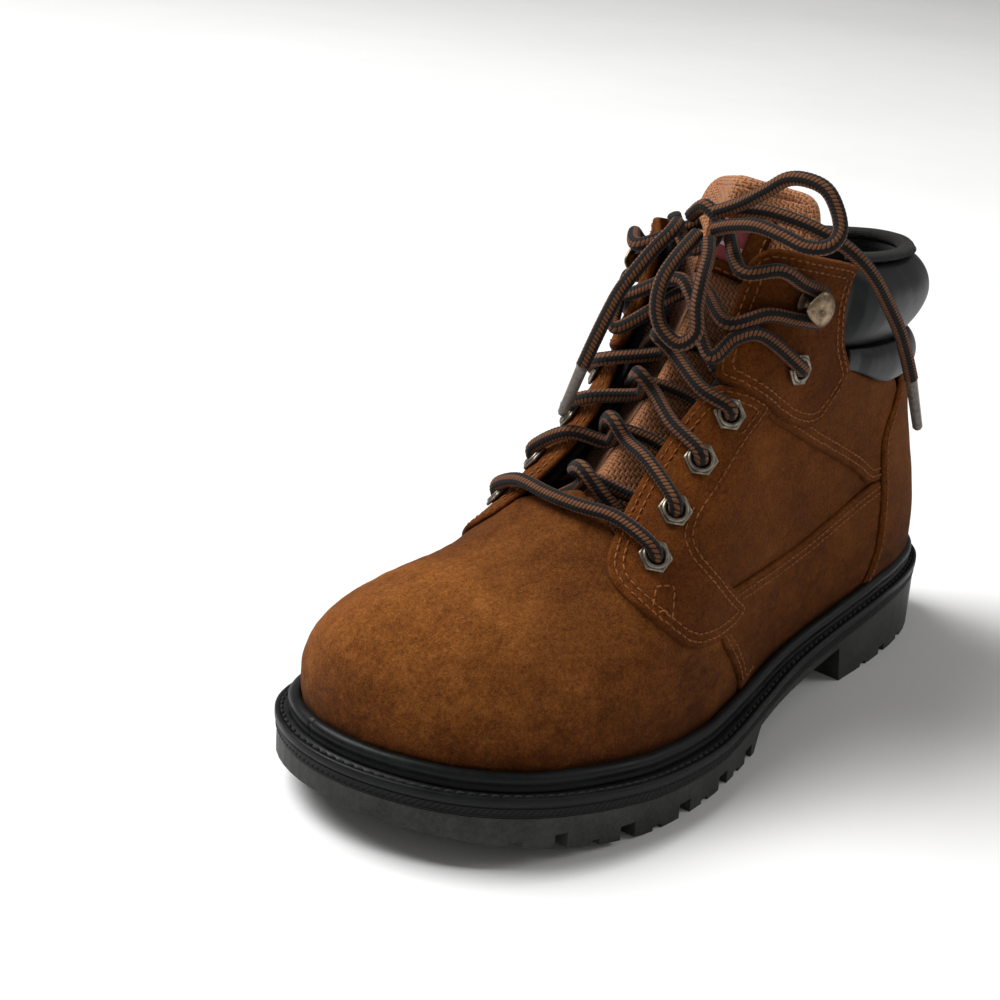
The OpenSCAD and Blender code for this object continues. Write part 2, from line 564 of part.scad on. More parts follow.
// From the top eyelet across to the other side's hook, round it and back to the knot.
function last(sd) = let(h = sd > 0 ? 12.6 : 7) concat([
    at(7.05, 0.825, 7.6, sd),
    at(7.45, 0.83, 7.3, sd),
    TG(CROSS[4] - 0.1, 0.25 * sd, h),
    TG(CROSS[4] + 0.1, -0.25 * sd, h)],
    [for (p = [[7.15, 0.865, 7.4], [6.5, 0.86, 6.4], [5.85, 0.864, 6.7], [5.4, 0.87, 7],
        [5.25, 0.9, 7], [5.4, 0.928, 7], [5.85, 0.94, 7], [6.3, 0.955, 8], [6.9, 0.96, 8.2]])
        at(p[0], p[1], p[2], -sd)],
    [TG(8.8, -0.28 * sd, 9)]);
// One half of the lace, from the middle of the bar up to its hook.
function half(start) = concat(bar(start),
    [for (k = [1 : 4]) each rung(k, k % 2 == 0 ? start : -start)], last(start));
HALF_A = half(1);
HALF_B = half(-1);
function rev(R) = [for (i = [len(R) - 1 : -1 : 0]) R[i]];
module lace() {
    color([0.3, 0.22, 0.16])
        cord(concat(rev(HALF_B), HALF_A), lace_d);
}
KNOT = [[-6, -7, 178], [-4, 0, 183], [-3, 7, 179], [-1, 6, 172], [1, -1, 169], [-1, -7, 173]];
module lace_knot() {
    color([0.3, 0.22, 0.16])
        cord(smooth(concat(KNOT, [[2, -8, 179]]), 2), lace_d);
}
// Free parts of the lace, from the knot outwards.
LOOP_R = [[1, 8, 183], [-1, 16, 187], [-2, 25, 193], [-3, 32, 198], [-4, 39, 199], [-5, 46, 197],
    [-5, 51, 191], [-3, 54, 185], [1, 53, 181], [4, 47, 180], [5, 38, 182], [5, 28, 183], [4, 18, 181],
    [3, 10, 178]];
LOOP_L = [[7, 6, 176], [12, 7, 174], [20, 8, 170], [26, 8, 164], [29, 9, 156], [29, 12, 149],
    [27, 18, 145], [24, 22, 149], [22, 20, 157], [18, 18, 165], [12, 15, 171], [7, 11, 175]];
END_R = [[-6, 12, 184], [-11, 20, 184], [-16, 30, 182], [-22, 39, 178], [-29, 45, 172], [-37, 48, 164],
    [-46, 49, 154], [-54, 50, 144], [-61, 50, 134], [-67, 50, 124]];
END_L = [[6, -3, 178], [12, -1, 176], [17, -3, 171], [22, -5, 165], [27, -8, 157], [31, -10, 148],
    [34, -12, 139], [36, -14, 131]];
AGLET_R = [[-67, 50, 124], [-75, 51, 104]];
AGLET_L = [[36, -14, 131], [39, -19, 113]];
module bow_loop_right() {
    color([0.3, 0.22, 0.16])
        cord(LOOP_R, lace_d);
}
module bow_loop_left() {
    color([0.3, 0.22, 0.16])
        cord(LOOP_L, lace_d);
}
module lace_end_right() {
    color([0.3, 0.22, 0.16])
        cord(END_R, lace_d);
}
module lace_end_left() {
    color([0.3, 0.22, 0.16])
        cord(END_L, lace_d);
}
module aglet(R) {
    d = unit(R[1] - R[0]);
    color([0.6, 0.6, 0.62])
        translate(R[0] + d * 0.3)
            rotate([0, acos(d[2]), atan2(d[1], d[0])])
                cylinder(h = norm(R[1] - R[0]), d1 = 4.2, d2 = 3.6, $fn = 24);
}

outsole_node();  // outsole
midsole();
welt();
rand();
insole_board();
shank();
sole_filler();
footbed();
toe_cap();
toe_cap_edge();
vamp();
vamp_lining();
side_panel(1);  // side_panel_outer
side_panel(-1);  // side_panel_inner
foxing(1);  // foxing_outer
foxing(-1);  // foxing_inner
quarter_band(1);  // quarter_band_outer
quarter_band(-1);  // quarter_band_inner
eyestay(1);  // eyestay_outer
eyestay(-1);  // eyestay_inner
collar_tab(1);  // collar_tab_outer
collar_tab(-1);  // collar_tab_inner
heel_cover();
heel_counter();
quarter_lining();
collar_pad_upper();
collar_pad_lower();
collar_binding();
tongue_face();
tongue_foam();
tongue_lining();
tongue_patch();
tongue_label();
eyelets(1);  // eyelets_outer
eyelets(-1);  // eyelets_inner
hooks(1);  // hooks_outer
hooks(-1);  // hooks_inner
lace();
lace_knot();
bow_loop_left();
bow_loop_right();
lace_end_left();
lace_end_right();
aglet(AGLET_L);  // aglet_left
aglet(AGLET_R);  // aglet_right
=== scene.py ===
# Steel toe work boot: the visual model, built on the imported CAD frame. Lengths inside the
# functions are millimetres and are scaled to metres when a mesh is made.
import math

import bmesh
import bpy
import numpy as np
from mathutils import Matrix, Vector, noise
from mathutils.geometry import delaunay_2d_cdt


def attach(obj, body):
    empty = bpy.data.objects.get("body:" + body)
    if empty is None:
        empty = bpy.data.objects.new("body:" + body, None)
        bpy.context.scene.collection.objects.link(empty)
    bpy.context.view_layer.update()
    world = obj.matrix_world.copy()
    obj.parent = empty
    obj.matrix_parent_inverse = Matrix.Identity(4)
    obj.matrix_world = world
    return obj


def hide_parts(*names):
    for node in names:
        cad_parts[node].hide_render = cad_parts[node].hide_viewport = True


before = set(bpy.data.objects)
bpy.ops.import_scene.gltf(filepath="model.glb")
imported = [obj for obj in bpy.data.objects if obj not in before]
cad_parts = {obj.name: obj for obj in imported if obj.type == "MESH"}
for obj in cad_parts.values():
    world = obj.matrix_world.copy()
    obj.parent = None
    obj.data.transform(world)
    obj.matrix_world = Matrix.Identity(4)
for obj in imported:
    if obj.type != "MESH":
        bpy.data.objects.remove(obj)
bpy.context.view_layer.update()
MM = 0.001
SEED = 7
SEAMS = (2.4, 5.0)  # rows of stitches, from a panel's edge
GROOVE = 0.55  # how wide a row of stitches pulls the leather down

# ---------------------------------------------------------------- the upper's surface S(u, v)
# u: 0 heel back, 13 toe tip, 26 heel back again; v: 0 welt, 1 collar or instep ridge.
# A column: x and y on the sole's edge, how far out and up its first control point is from the
# foot of the upper, its second control point and its rim. INNER is y lost on the inner side.
COLUMNS = [
    (-154, 0, 5, 28, (-125, 0, 101), (-126, 0, 157)),
    (-150, 16, 5, 28, (-122, 8, 101), (-124, 8.5, 157)),
    (-133, 28, 4, 29, (-111, 16.5, 102), (-114, 18, 157)),
    (-100, 35.5, 3, 29, (-89, 23.5, 104), (-92, 26, 159)),
    (-62, 37.5, 2, 30, (-63, 26.5, 108), (-62, 31, 163)),
    (-25, 42, 1, 32, (-36, 27, 113), (-33, 33, 168)),
    (8, 52, 0, 33, (-10, 26, 120), (-14, 28, 173)),
    (38, 60, -1, 34, (0, 25, 128), (-6, 17, 175)),
    (66, 63, 0, 33, (19, 25, 114), (1, 0, 135)),
    (94, 61, 1, 30, (62, 27, 77), (39, 0, 98)),
    (120, 54, 4, 29, (91, 33, 74), (62, 0, 85)),
    (140, 40, 7, 30, (121, 29, 74), (84, 0, 80)),
    (151, 18, 8, 32, (136, 14, 75), (105, 0, 77)),
    (153.5, 0, 8, 34, (138, 0, 76), (120, 0, 76)),
]
INNER = (0, 0, 0, 1, 2, 4, 6, 5, 3, 1, 0, 0, 0, 0)
WELT = ((-160, 29.4), (-100, 27.5), (-50, 22.6), (-10, 18.6), (30, 17), (70, 19), (110, 23),
        (160, 28.9))
BEND = 10.6  # how far the toe swings inwards
N2 = 26  # columns round the whole boot


def table(pairs):
    a = np.array(pairs, float)
    return lambda x: np.interp(x, a[:, 0], a[:, 1])


def mirrored(u, side):
    """The place across from u, for the inner side; u itself for the outer one."""
    return u if side > 0 else N2 - u


def unit(v):
    return v / np.maximum(np.linalg.norm(v, axis=-1, keepdims=True), 1e-9)


welt_z = table(WELT)


def rows():
    half = [k if k <= 13 else N2 - k for k in range(N2)]
    sign = [1 if k <= 13 else -1 for k in range(N2)]
    edge = np.array([(COLUMNS[h][0], COLUMNS[h][1] if s > 0 else INNER[h] - COLUMNS[h][1], 0)
                     for h, s in zip(half, sign)], float)
    t = unit(np.roll(edge, -1, 0) - np.roll(edge, 1, 0))
    out = np.stack([-t[:, 1], t[:, 0], 0 * t[:, 0]], 1)
    inset = np.interp(edge[:, 0], (-60, 20), (7, 9))[:, None]
    foot = edge - out * inset
    foot[:, 2] = welt_z(edge[:, 0]) + 1
    first = foot + out * np.array([[COLUMNS[h][2]] for h in half])
    first[:, 2] += [COLUMNS[h][3] for h in half]
    mirror = np.array([(1, s, 1) for s in sign])
    second = np.array([COLUMNS[h][4] for h in half]) * mirror
    rim = np.array([COLUMNS[h][5] for h in half]) * mirror
    return edge, foot, first, second, rim


EDGE, FOOT, FIRST, SECOND, RIM = rows()


def spline(points, u):
    k = np.floor(u).astype(int)
    t = (u - k)[..., None]
    i = k % N2
    return ((1 - t) ** 3 * points[(i - 1) % N2] + (3 * t ** 3 - 6 * t ** 2 + 4) * points[i]
            + (-3 * t ** 3 + 3 * t ** 2 + 3 * t + 1) * points[(i + 1) % N2]
            + t ** 3 * points[(i + 2) % N2]) / 6


def bow(p):
    q = np.clip((p[..., 0] - 10) / 140, 0, 1.3)
    p = p.copy()
    p[..., 1] -= BEND * q * q
    return p


def surface(u, v):
    u, v = np.broadcast_arrays(np.asarray(u, float), np.asarray(v, float))
    w = v[..., None]
    s = 1 - w
    return bow(s ** 3 * spline(FOOT, u) + 3 * w * s * s * spline(FIRST, u)
               + 3 * w * w * s * spline(SECOND, u) + w ** 3 * spline(RIM, u))


def normal(u, v):
    u, v = np.broadcast_arrays(np.asarray(u, float), np.asarray(v, float))
    a = surface(u + 0.02, v) - surface(u - 0.02, v)
    b = surface(u, np.minimum(v + 0.01, 1)) - surface(u, v - 0.01)
    return -unit(np.cross(a, b))


def above(u, v, h):
    return surface(u, v) + normal(u, v) * np.asarray(h, float)[..., None]


def sole_edge(u, inset):
    """The sole's outline moved inwards, as x and y."""
    u = np.asarray(u, float)
    t = unit(spline(EDGE, u + 0.01) - spline(EDGE, u - 0.01))
    p = spline(EDGE, u) - np.stack([-t[..., 1], t[..., 0], 0 * t[..., 0]], -1) \
        * np.asarray(inset, float)[..., None]
    return bow(p)[..., :2]


def noise3(p, scale, seed=0.0):
    """Smooth noise in -1..1 at points in mm; scale is the size of a blob in mm."""
    flat = p.reshape(-1, 3) / scale + seed
    return np.array([noise.noise(Vector(q)) for q in flat]).reshape(p.shape[:-1]) * 1.6


def smooth_step(x, a, b):
    t = np.clip((x - a) / (b - a), 0, 1)
    return t * t * (3 - 2 * t)


def rounded(d, radius):
    """A quarter-round edge: 0 at distance d = 0, 1 from the radius inwards."""
    return np.sqrt(np.clip(1 - (1 - np.clip(d / radius, 0, 1)) ** 2, 0, 1))


def groove(d, row):
    """How far leather is pulled down, 0 to 1, at distance d from a stitched row."""
    return np.exp(-((d - row) / GROOVE) ** 2)


# ---------------------------------------------------------------- meshes
def build(name, verts, faces, material, body, uv=None, nodes=(), slot=None):
    """A piece from points in mm, riding on its body and standing for the named CAD nodes.
    uv has one place for each corner of each face, or one for each point."""
    mesh = bpy.data.meshes.new(name)
    mesh.from_pydata((np.asarray(verts) * MM).tolist(), [], faces)
    if uv is not None:
        layer = mesh.uv_layers.new(name="uv")
        uv = np.asarray(uv, float)
        if len(uv) != len(mesh.loops):
            index = np.empty(len(mesh.loops), int)
            mesh.loops.foreach_get("vertex_index", index)
            uv = uv[index]
        layer.data.foreach_set("uv", uv.ravel())
    work = bmesh.new()
    work.from_mesh(mesh)
    bmesh.ops.delete(work, geom=[v for v in work.verts if not v.link_faces], context="VERTS")
    bmesh.ops.recalc_face_normals(work, faces=work.faces)
    work.to_mesh(mesh)
    work.free()
    mesh.polygons.foreach_set("use_smooth", [True] * len(mesh.polygons))
    mesh.materials.append(material)
    obj = bpy.data.objects.new(name, mesh)
    bpy.context.scene.collection.objects.link(obj)
    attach(obj, body)
    if nodes:
        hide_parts(*nodes)
    return obj


def grid_faces(a, b, wrap_a=False, wrap_b=False, turn=False):
    """Faces over a grid of a by b points, closed on itself where it wraps."""
    i, j = np.meshgrid(np.arange(a if wrap_a else a - 1), np.arange(b if wrap_b else b - 1),
                       indexing="ij")
    p = (i * b + j).ravel()
    q = (((i + 1) % a) * b + j).ravel()
    r = (((i + 1) % a) * b + (j + 1) % b).ravel()
    s = (i * b + (j + 1) % b).ravel()
    return [tuple(f) for f in np.stack([p, s, r, q] if turn else [p, q, r, s], 1).tolist()]


def tube_faces(n, sides):
    """Faces of a closed tube of n rings."""
    caps = [tuple(range(sides - 1, -1, -1)), tuple((n - 1) * sides + k for k in range(sides))]
    return grid_faces(n, sides, wrap_b=True, turn=True) + caps


def thicken(upper, lower, faces):
    """A closed sheet from matching points above and below and the faces of its upper side."""
    m = len(upper)
    open_edges = {}
    for f in faces:
        for a, b in zip(f, (*f[1:], f[0])):
            if (b, a) in open_edges:
                del open_edges[b, a]
            else:
                open_edges[a, b] = True
    walls = [(b, a, a + m, b + m) for a, b in open_edges]
    under = [tuple(i + m for i in f[::-1]) for f in faces]
    return np.concatenate([upper, lower]), [*faces, *under, *walls]


def slab(upper, lower):
    """Points and faces of a closed sheet between two grids of the same size."""
    a, b = upper.shape[:2]
    return thicken(upper.reshape(-1, 3), lower.reshape(-1, 3), grid_faces(a, b))


def chaikin(points, times=2):
    p = np.asarray(points, float)
    for _ in range(times):
        q = np.roll(p, -1, 0)
        p = np.stack([0.78 * p + 0.22 * q, 0.22 * p + 0.78 * q], 1).reshape(-1, p.shape[1])
    return p


def resample(path3, extra, step, closed=True):
    """Points at even spacing along a 3-D path, with the same places in extra."""
    if closed:
        path3 = np.concatenate([path3, path3[:1]])
        extra = np.concatenate([extra, extra[:1]])
    d = np.concatenate([[0], np.cumsum(np.linalg.norm(np.diff(path3, axis=0), axis=1))])
    n = max(4, int(round(d[-1] / step)))
    t = np.linspace(0, d[-1], n + 1)[:-1 if closed else None]
    return np.stack([np.interp(t, d, extra[:, k]) for k in range(extra.shape[1])], 1)


def moved_in(uv, d, side):
    """An outline in (u, v) moved inwards by d mm, corners cleaned."""
    u, v = uv[:, 0], uv[:, 1]
    p = surface(u, v)
    t = unit(np.roll(p, -1, 0) - np.roll(p, 1, 0))
    n = normal(u, v)
    m = np.cross(n, t) * side
    su = (surface(u + 0.01, v) - surface(u - 0.01, v)) / 0.02
    sv = (surface(u, v + 0.005) - surface(u, v - 0.005)) / 0.01
    a = np.einsum("ij,ij->i", su, su)
    b = np.einsum("ij,ij->i", su, sv)
    c = np.einsum("ij,ij->i", sv, sv)
    e = np.einsum("ij,ij->i", su, m) * d
    f = np.einsum("ij,ij->i", sv, m) * d
    det = a * c - b * b
    moved = np.stack([u + (e * c - f * b) / det, v + (a * f - b * e) / det], 1)
    q = surface(moved[:, 0], moved[:, 1])
    keep = distance(q, p) > 0.93 * d
    return moved[keep]


def distance(points, outline):
    out = np.empty(len(points))
    for i in range(0, len(points), 2000):
        block = points[i:i + 2000, None, :] - outline[None]
        out[i:i + 2000] = np.sqrt((block ** 2).sum(-1).min(1))
    return out


def inside(points, outline):
    x, y = points[:, 0], points[:, 1]
    result = np.zeros(len(points), bool)
    for a, b in zip(outline, np.roll(outline, -1, 0)):
        cross = (a[1] > y) != (b[1] > y)
        with np.errstate(divide="ignore", invalid="ignore"):
            at = (b[0] - a[0]) * (y - a[1]) / (b[1] - a[1]) + a[0]
        result ^= cross & (x < at)
    return result


EDGE_RADIUS = 1.1  # of cut leather, a little rolled by its stitches


def panel(name, outline, side, lo, hi, material, nodes, slot, rows=SEAMS, skip=None, step=1.9):
    """A leather panel with a rounded edge, sewn down along its outline.
    outline is a list of (u, v) on the outer side; lo and hi are heights above S, hi a number
    or a function of u and v. skip(u, v) is True where the edge isn't sewn."""
    def top_at(u, v):
        return hi(mirrored(u, side), v) if callable(hi) else np.full(len(u), float(hi))

    def sewn_at(u, v):
        return np.ones(len(u), bool) if skip is None else ~skip(mirrored(u, side), v)

    uv = chaikin(outline)
    area = np.sum(uv[:, 0] * np.roll(uv[:, 1], -1) - uv[:, 1] * np.roll(uv[:, 0], -1))
    if area < 0:
        uv = uv[::-1]
    if side < 0:
        uv = np.stack([N2 - uv[:, 0], uv[:, 1]], 1)[::-1]
    uv = resample(surface(uv[:, 0], uv[:, 1]), uv, 1.1)
    edge3 = surface(uv[:, 0], uv[:, 1])
    turn = 1 if turns_inwards(uv) else -1
    rings = [uv] + [moved_in(uv, d, turn) for d in (0.35, 1.0, 2.0)]
    u0, v0 = uv.mean(0)
    su = np.linalg.norm(surface(u0 + 0.1, v0) - surface(u0 - 0.1, v0)) / 0.2
    sv = np.linalg.norm(surface(u0, v0 + 0.05) - surface(u0, v0 - 0.05)) / 0.1
    gu, gv = np.meshgrid(np.arange(uv[:, 0].min(), uv[:, 0].max(), step / su),
                         np.arange(uv[:, 1].min(), uv[:, 1].max(), step / sv), indexing="ij")
    gu[:, 1::2] += 0.5 * step / su
    cells = np.stack([gu.ravel(), gv.ravel()], 1)
    cells = cells[inside(cells, uv)]
    cells = cells[distance(surface(cells[:, 0], cells[:, 1]), edge3) > 2.6]
    scale = np.array([su, sv])
    edges = [(i, (i + 1) % len(uv)) for i in range(len(uv))]
    points = np.concatenate([*(ring * scale for ring in rings), cells * scale])
    flat, _, faces, *_ = delaunay_2d_cdt([Vector(p) for p in points], edges, [], 1, 1e-4)
    flat = np.array([tuple(p) for p in flat]) / scale
    u, v = flat[:, 0], flat[:, 1]
    base = surface(u, v)
    n = normal(u, v)
    d = distance(base, edge3)
    top = top_at(u, v)
    height = lo + (top - lo) * (0.45 + 0.55 * rounded(d, EDGE_RADIUS))
    sewn = sewn_at(u, v)
    for r in rows:
        height -= 0.2 * groove(d, r) * sewn
    height += 0.16 * noise3(base, 9.0, 3) * smooth_step(d, 0, 3) + 0.1 * noise3(base, 3.2, 9)
    upper = base + n * height[:, None]
    lower = base + n * lo
    obj = build(name, *thicken(upper, lower, faces), material, "boot", nodes=nodes, slot=slot)
    stitched = []
    for r in rows:
        u, v = moved_in(uv, r, turn).T
        n = normal(u, v)
        p = surface(u, v) + n * (top_at(u, v) - 0.16)[:, None]
        stitched += stitch_runs(p, n, sewn_at(u, v))
    return obj, stitched


def turns_inwards(uv):
    """True if cross(n, t) points into the outline."""
    u, v = uv[:, 0], uv[:, 1]
    p = surface(u, v)
    t = unit(np.roll(p, -1, 0) - np.roll(p, 1, 0))
    q = p + np.cross(normal(u, v), t) * 2
    d_in = np.linalg.norm(q - p.mean(0), axis=1).mean()
    d_out = np.linalg.norm(2 * p - q - p.mean(0), axis=1).mean()
    return d_in < d_out


# ---------------------------------------------------------------- stitches
def stitch_runs(points, normals, keep, closed=True):
    """Splits a stitched line into runs that are sewn and not jumping."""
    runs, run = [], []
    order = range(len(points) + (1 if closed else 0))
    for i in order:
        k = i % len(points)
        jump = run and np.linalg.norm(points[k] - points[run[-1]]) > 4
        if jump or not keep[k]:
            if len(run) > 3:
                runs.append((points[run], normals[run]))
            run = []
        if keep[k]:
            run.append(k)
    if len(run) > 3:
        runs.append((points[run], normals[run]))
    return runs


def between(s, values, place):
    """The 3-D value at a place along a line whose points are at s."""
    return np.array([np.interp(place, s, values[:, c]) for c in range(3)])


# A stitch: place along it, thickness and rise, both for a thread of size 1.
STITCH = ((0, 0.25, -0.75), (0.12, 0.85, 0.1), (0.5, 1.0, 0.6), (0.88, 0.85, 0.1),
          (1.0, 0.25, -0.75))


def stitches(name, runs, material, body="boot", slot=None, pitch=3.0, size=0.32, long=0.8,
             sink=0.12):
    """Every stitch of the runs, as one mesh of short rounded threads."""
    rng = np.random.default_rng(SEED)
    verts, faces = [], []
    ring = np.arange(6) * math.pi / 3
    one = tube_faces(len(STITCH), len(ring))
    for points, normals in runs:
        s = np.concatenate([[0], np.cumsum(np.linalg.norm(np.diff(points, axis=0), axis=1))])
        if s[-1] < pitch:
            continue
        n = int(s[-1] / pitch)
        for k in range(n):
            a = (k + 0.1) * s[-1] / n
            b = a + long * s[-1] / n
            pa = between(s, points, a)
            pb = between(s, points, b)
            up = unit(between(s, normals, a))
            t = unit(pb - pa)
            w = unit(np.cross(up, t))
            shift = w * rng.normal(0, 0.07)
            lean = w * rng.normal(0, 0.09)
            start = len(verts)
            for f, fat, rise in STITCH:
                c = pa + (pb - pa) * f + up * (rise * size + sink) + shift + lean * (2 * f - 1)
                for q in ring:
                    verts.append(c + (w * math.cos(q) + up * math.sin(q)) * (fat * size))
            faces += [tuple(start + i for i in face) for face in one]
    return build(name, np.array(verts), faces, material, body, slot=slot)


# ---------------------------------------------------------------- tongue and lace routes
TONGUE = np.array([(74, 72), (62, 77), (52, 83), (42, 92.5), (30, 104.5), (17, 118), (7, 131),
                   (-1, 146), (-9, 162), (-16, 176), (-20, 188)], float)
TONGUE_W = 24  # half the tongue's width, where tongue_shape is 1
tongue_shape = table(((0, 0.85), (2, 0.92), (4, 0.86), (6, 0.72), (7.2, 0.72), (8.5, 0.88),
                      (9.3, 0.94), (10, 0.8)))


def catmull(points, s):
    p = np.asarray(points, float)
    n = len(p) - 1
    s = np.asarray(s, float)
    k = np.clip(np.floor(s).astype(int), 0, n - 1)
    t = (s - k)[..., None]
    a, b, c, d = p[np.maximum(k - 1, 0)], p[k], p[k + 1], p[np.minimum(k + 2, n)]
    return 0.5 * (2 * b + (c - a) * t + (2 * a - 5 * b + 4 * c - d) * t * t
                  + (3 * b - a - 3 * c + d) * t ** 3)


def tongue(s, q, h):
    """Point of the tongue: s 0..10 along it, q -1..1 across it, h above its face."""
    s, q, h = np.broadcast_arrays(*(np.asarray(x, float) for x in (s, q, h)))
    c = catmull(TONGUE, s)
    d = unit(catmull(TONGUE, np.minimum(s + 0.05, 10)) - catmull(TONGUE, np.maximum(s - 0.05, 0)))
    k = h - 18 * q * q / (0.25 + q * q)
    return np.stack([c[..., 0] + d[..., 1] * k, TONGUE_W * tongue_shape(s) * q,
                     c[..., 1] - d[..., 0] * k], -1)


EYELETS = ((8.35, 0.548), (8.08, 0.606), (7.67, 0.652), (7.12, 0.689), (5.52, 0.765))
HOOK = (5.55, 0.9)
# The laces: places along the tongue where they cross, and where they pass the stay's inner edge
# on their way to each eyelet, over it and under it.
CROSS = (3.1, 4.25, 5.3, 6.3, 7.4)
IN_OVER = ((8.9, 0.752), (8.45, 0.795), (8.1, 0.8), (7.64, 0.79), (6.6, 0.82))
IN_UNDER = ((8.8, 0.765), (8.56, 0.778), (8.2, 0.78), (7.7, 0.778), (6.6, 0.8))
LACE_D = 4.8
BEAD = 1.35  # length of one bead of the braid


def at(u, v, h, side):
    return above(mirrored(u, side), v, h)


def mix(a, b, t):
    return a[0] + (b[0] - a[0]) * t, a[1] + (b[1] - a[1]) * t


def half_lace(start):
    """One half of the lace: from the bar over the throat into the lowest eyelet, then across
    and up out of the next eyelet each time, and from the top one round the other side's hook
    to the knot."""
    e, o, w = EYELETS[0], IN_OVER[0], IN_UNDER[0]
    out = [tongue(2.2, 0.3 * start, 15.4), at(*o, 5.4, start), at(*mix(o, e, 0.75), 5.4, start),
           at(*e, 3, start), at(*e, -3, start), at(*mix(e, w, 0.12), -9.3, start),
           at(*w, -8.9, start)]
    for k in range(1, 5):
        sd = start if k % 2 == 0 else -start
        e, o, w = EYELETS[k], IN_OVER[k], IN_UNDER[k]
        low = k < 4
        h, c = 11.7 if sd < 0 else 4.6, CROSS[k - 1]
        lift, deep = (5.1, -8.9) if low else (6.5, -7.8)
        out += [tongue(c - 0.2, -0.3 * sd, h), tongue(c, 0, h),
                tongue(c + 0.15, 0.5 * sd, 0.75 * h + 1.7)]
        if not low:
            out.append(at(7.5, 0.83, -7, sd))
        out += [at(*w, deep, sd), at(*mix(e, w, 0.12), deep - (0.4 if low else 0.2), sd),
                at(*e, -3, sd), at(*e, lift - 2, sd), at(*mix(o, e, 0.8), lift + 0.4, sd),
                at(*o, lift + 0.2, sd)]
    h = 12.6 if sd > 0 else 7
    out += [at(7.05, 0.825, 7.6, sd), at(7.45, 0.83, 7.3, sd), tongue(CROSS[4] - 0.1, 0.25 * sd, h),
            tongue(CROSS[4] + 0.1, -0.25 * sd, h)]
    sd = -start
    out += [at(u, v, h, sd) for u, v, h in (
        (7.15, 0.865, 7.4), (6.5, 0.86, 6.4), (5.85, 0.864, 6.7), (5.4, 0.87, 7), (5.25, 0.9, 7),
        (5.4, 0.928, 7), (5.85, 0.94, 7), (6.3, 0.955, 8), (6.9, 0.96, 8.2))]
    out.append(tongue(8.8, -0.28 * start, 9))
    return out


def sweep(path, radius, sides):
    """A closed tube along a path: points, faces and, for each corner, how far along it is in
    mm and how far round, 0 to 1. radius is a number or a function of those two."""
    path = np.asarray(path, float)
    n = len(path)
    t = unit(np.gradient(path, axis=0))
    a = np.zeros_like(path)
    first = np.array([0, 0, 1.0]) if abs(t[0][2]) < 0.9 else np.array([1.0, 0, 0])
    a[0] = unit(first - t[0] * (first @ t[0]))
    for i in range(1, n):
        a[i] = unit(a[i - 1] - t[i] * (a[i - 1] @ t[i]))
    b = np.cross(t, a)
    ring = np.arange(sides) * 2 * math.pi / sides
    c, s = np.cos(ring)[None, :, None], np.sin(ring)[None, :, None]
    along = np.concatenate([[0], np.cumsum(np.linalg.norm(np.diff(path, axis=0), axis=1))])
    u = np.repeat(along[:, None], sides, 1)
    v = np.repeat((ring / (2 * math.pi))[None, :], n, 0)
    r = radius(u, v) if callable(radius) else np.full(u.shape, float(radius))
    verts = path[:, None, :] + (a[:, None, :] * c + b[:, None, :] * s) * r[..., None]
    i, j = np.meshgrid(np.arange(n - 1), np.arange(sides), indexing="ij")
    corners = [(along[i], j), (along[i], j + 1), (along[i + 1], j + 1), (along[i + 1], j)]
    uv = np.stack([np.stack([p, q / sides], -1) for p, q in corners], 2).reshape(-1, 2)
    uv = np.concatenate([uv, np.tile([0, 0.5], (sides, 1)), np.tile([along[-1], 0.5], (sides, 1))])
    return verts.reshape(-1, 3), tube_faces(n, sides), uv


def fine(points, step):
    """A listed route as a smooth, evenly spaced path."""
    s = np.linspace(0, len(points) - 1, (len(points) - 1) * 24 + 1)
    p = catmull(points, s)
    return resample(p, p, step, closed=False)


def braid(u, v):
    """Radius of a round 16-strand braid, 4.8 mm thick, at u mm along and v round."""
    a = u / BEAD + v * 8
    b = u / BEAD - v * 8
    weave = np.abs(np.sin(math.pi * a)) * np.abs(np.sin(math.pi * b))
    return LACE_D / 2 * (0.93 + 0.11 * np.sqrt(weave))


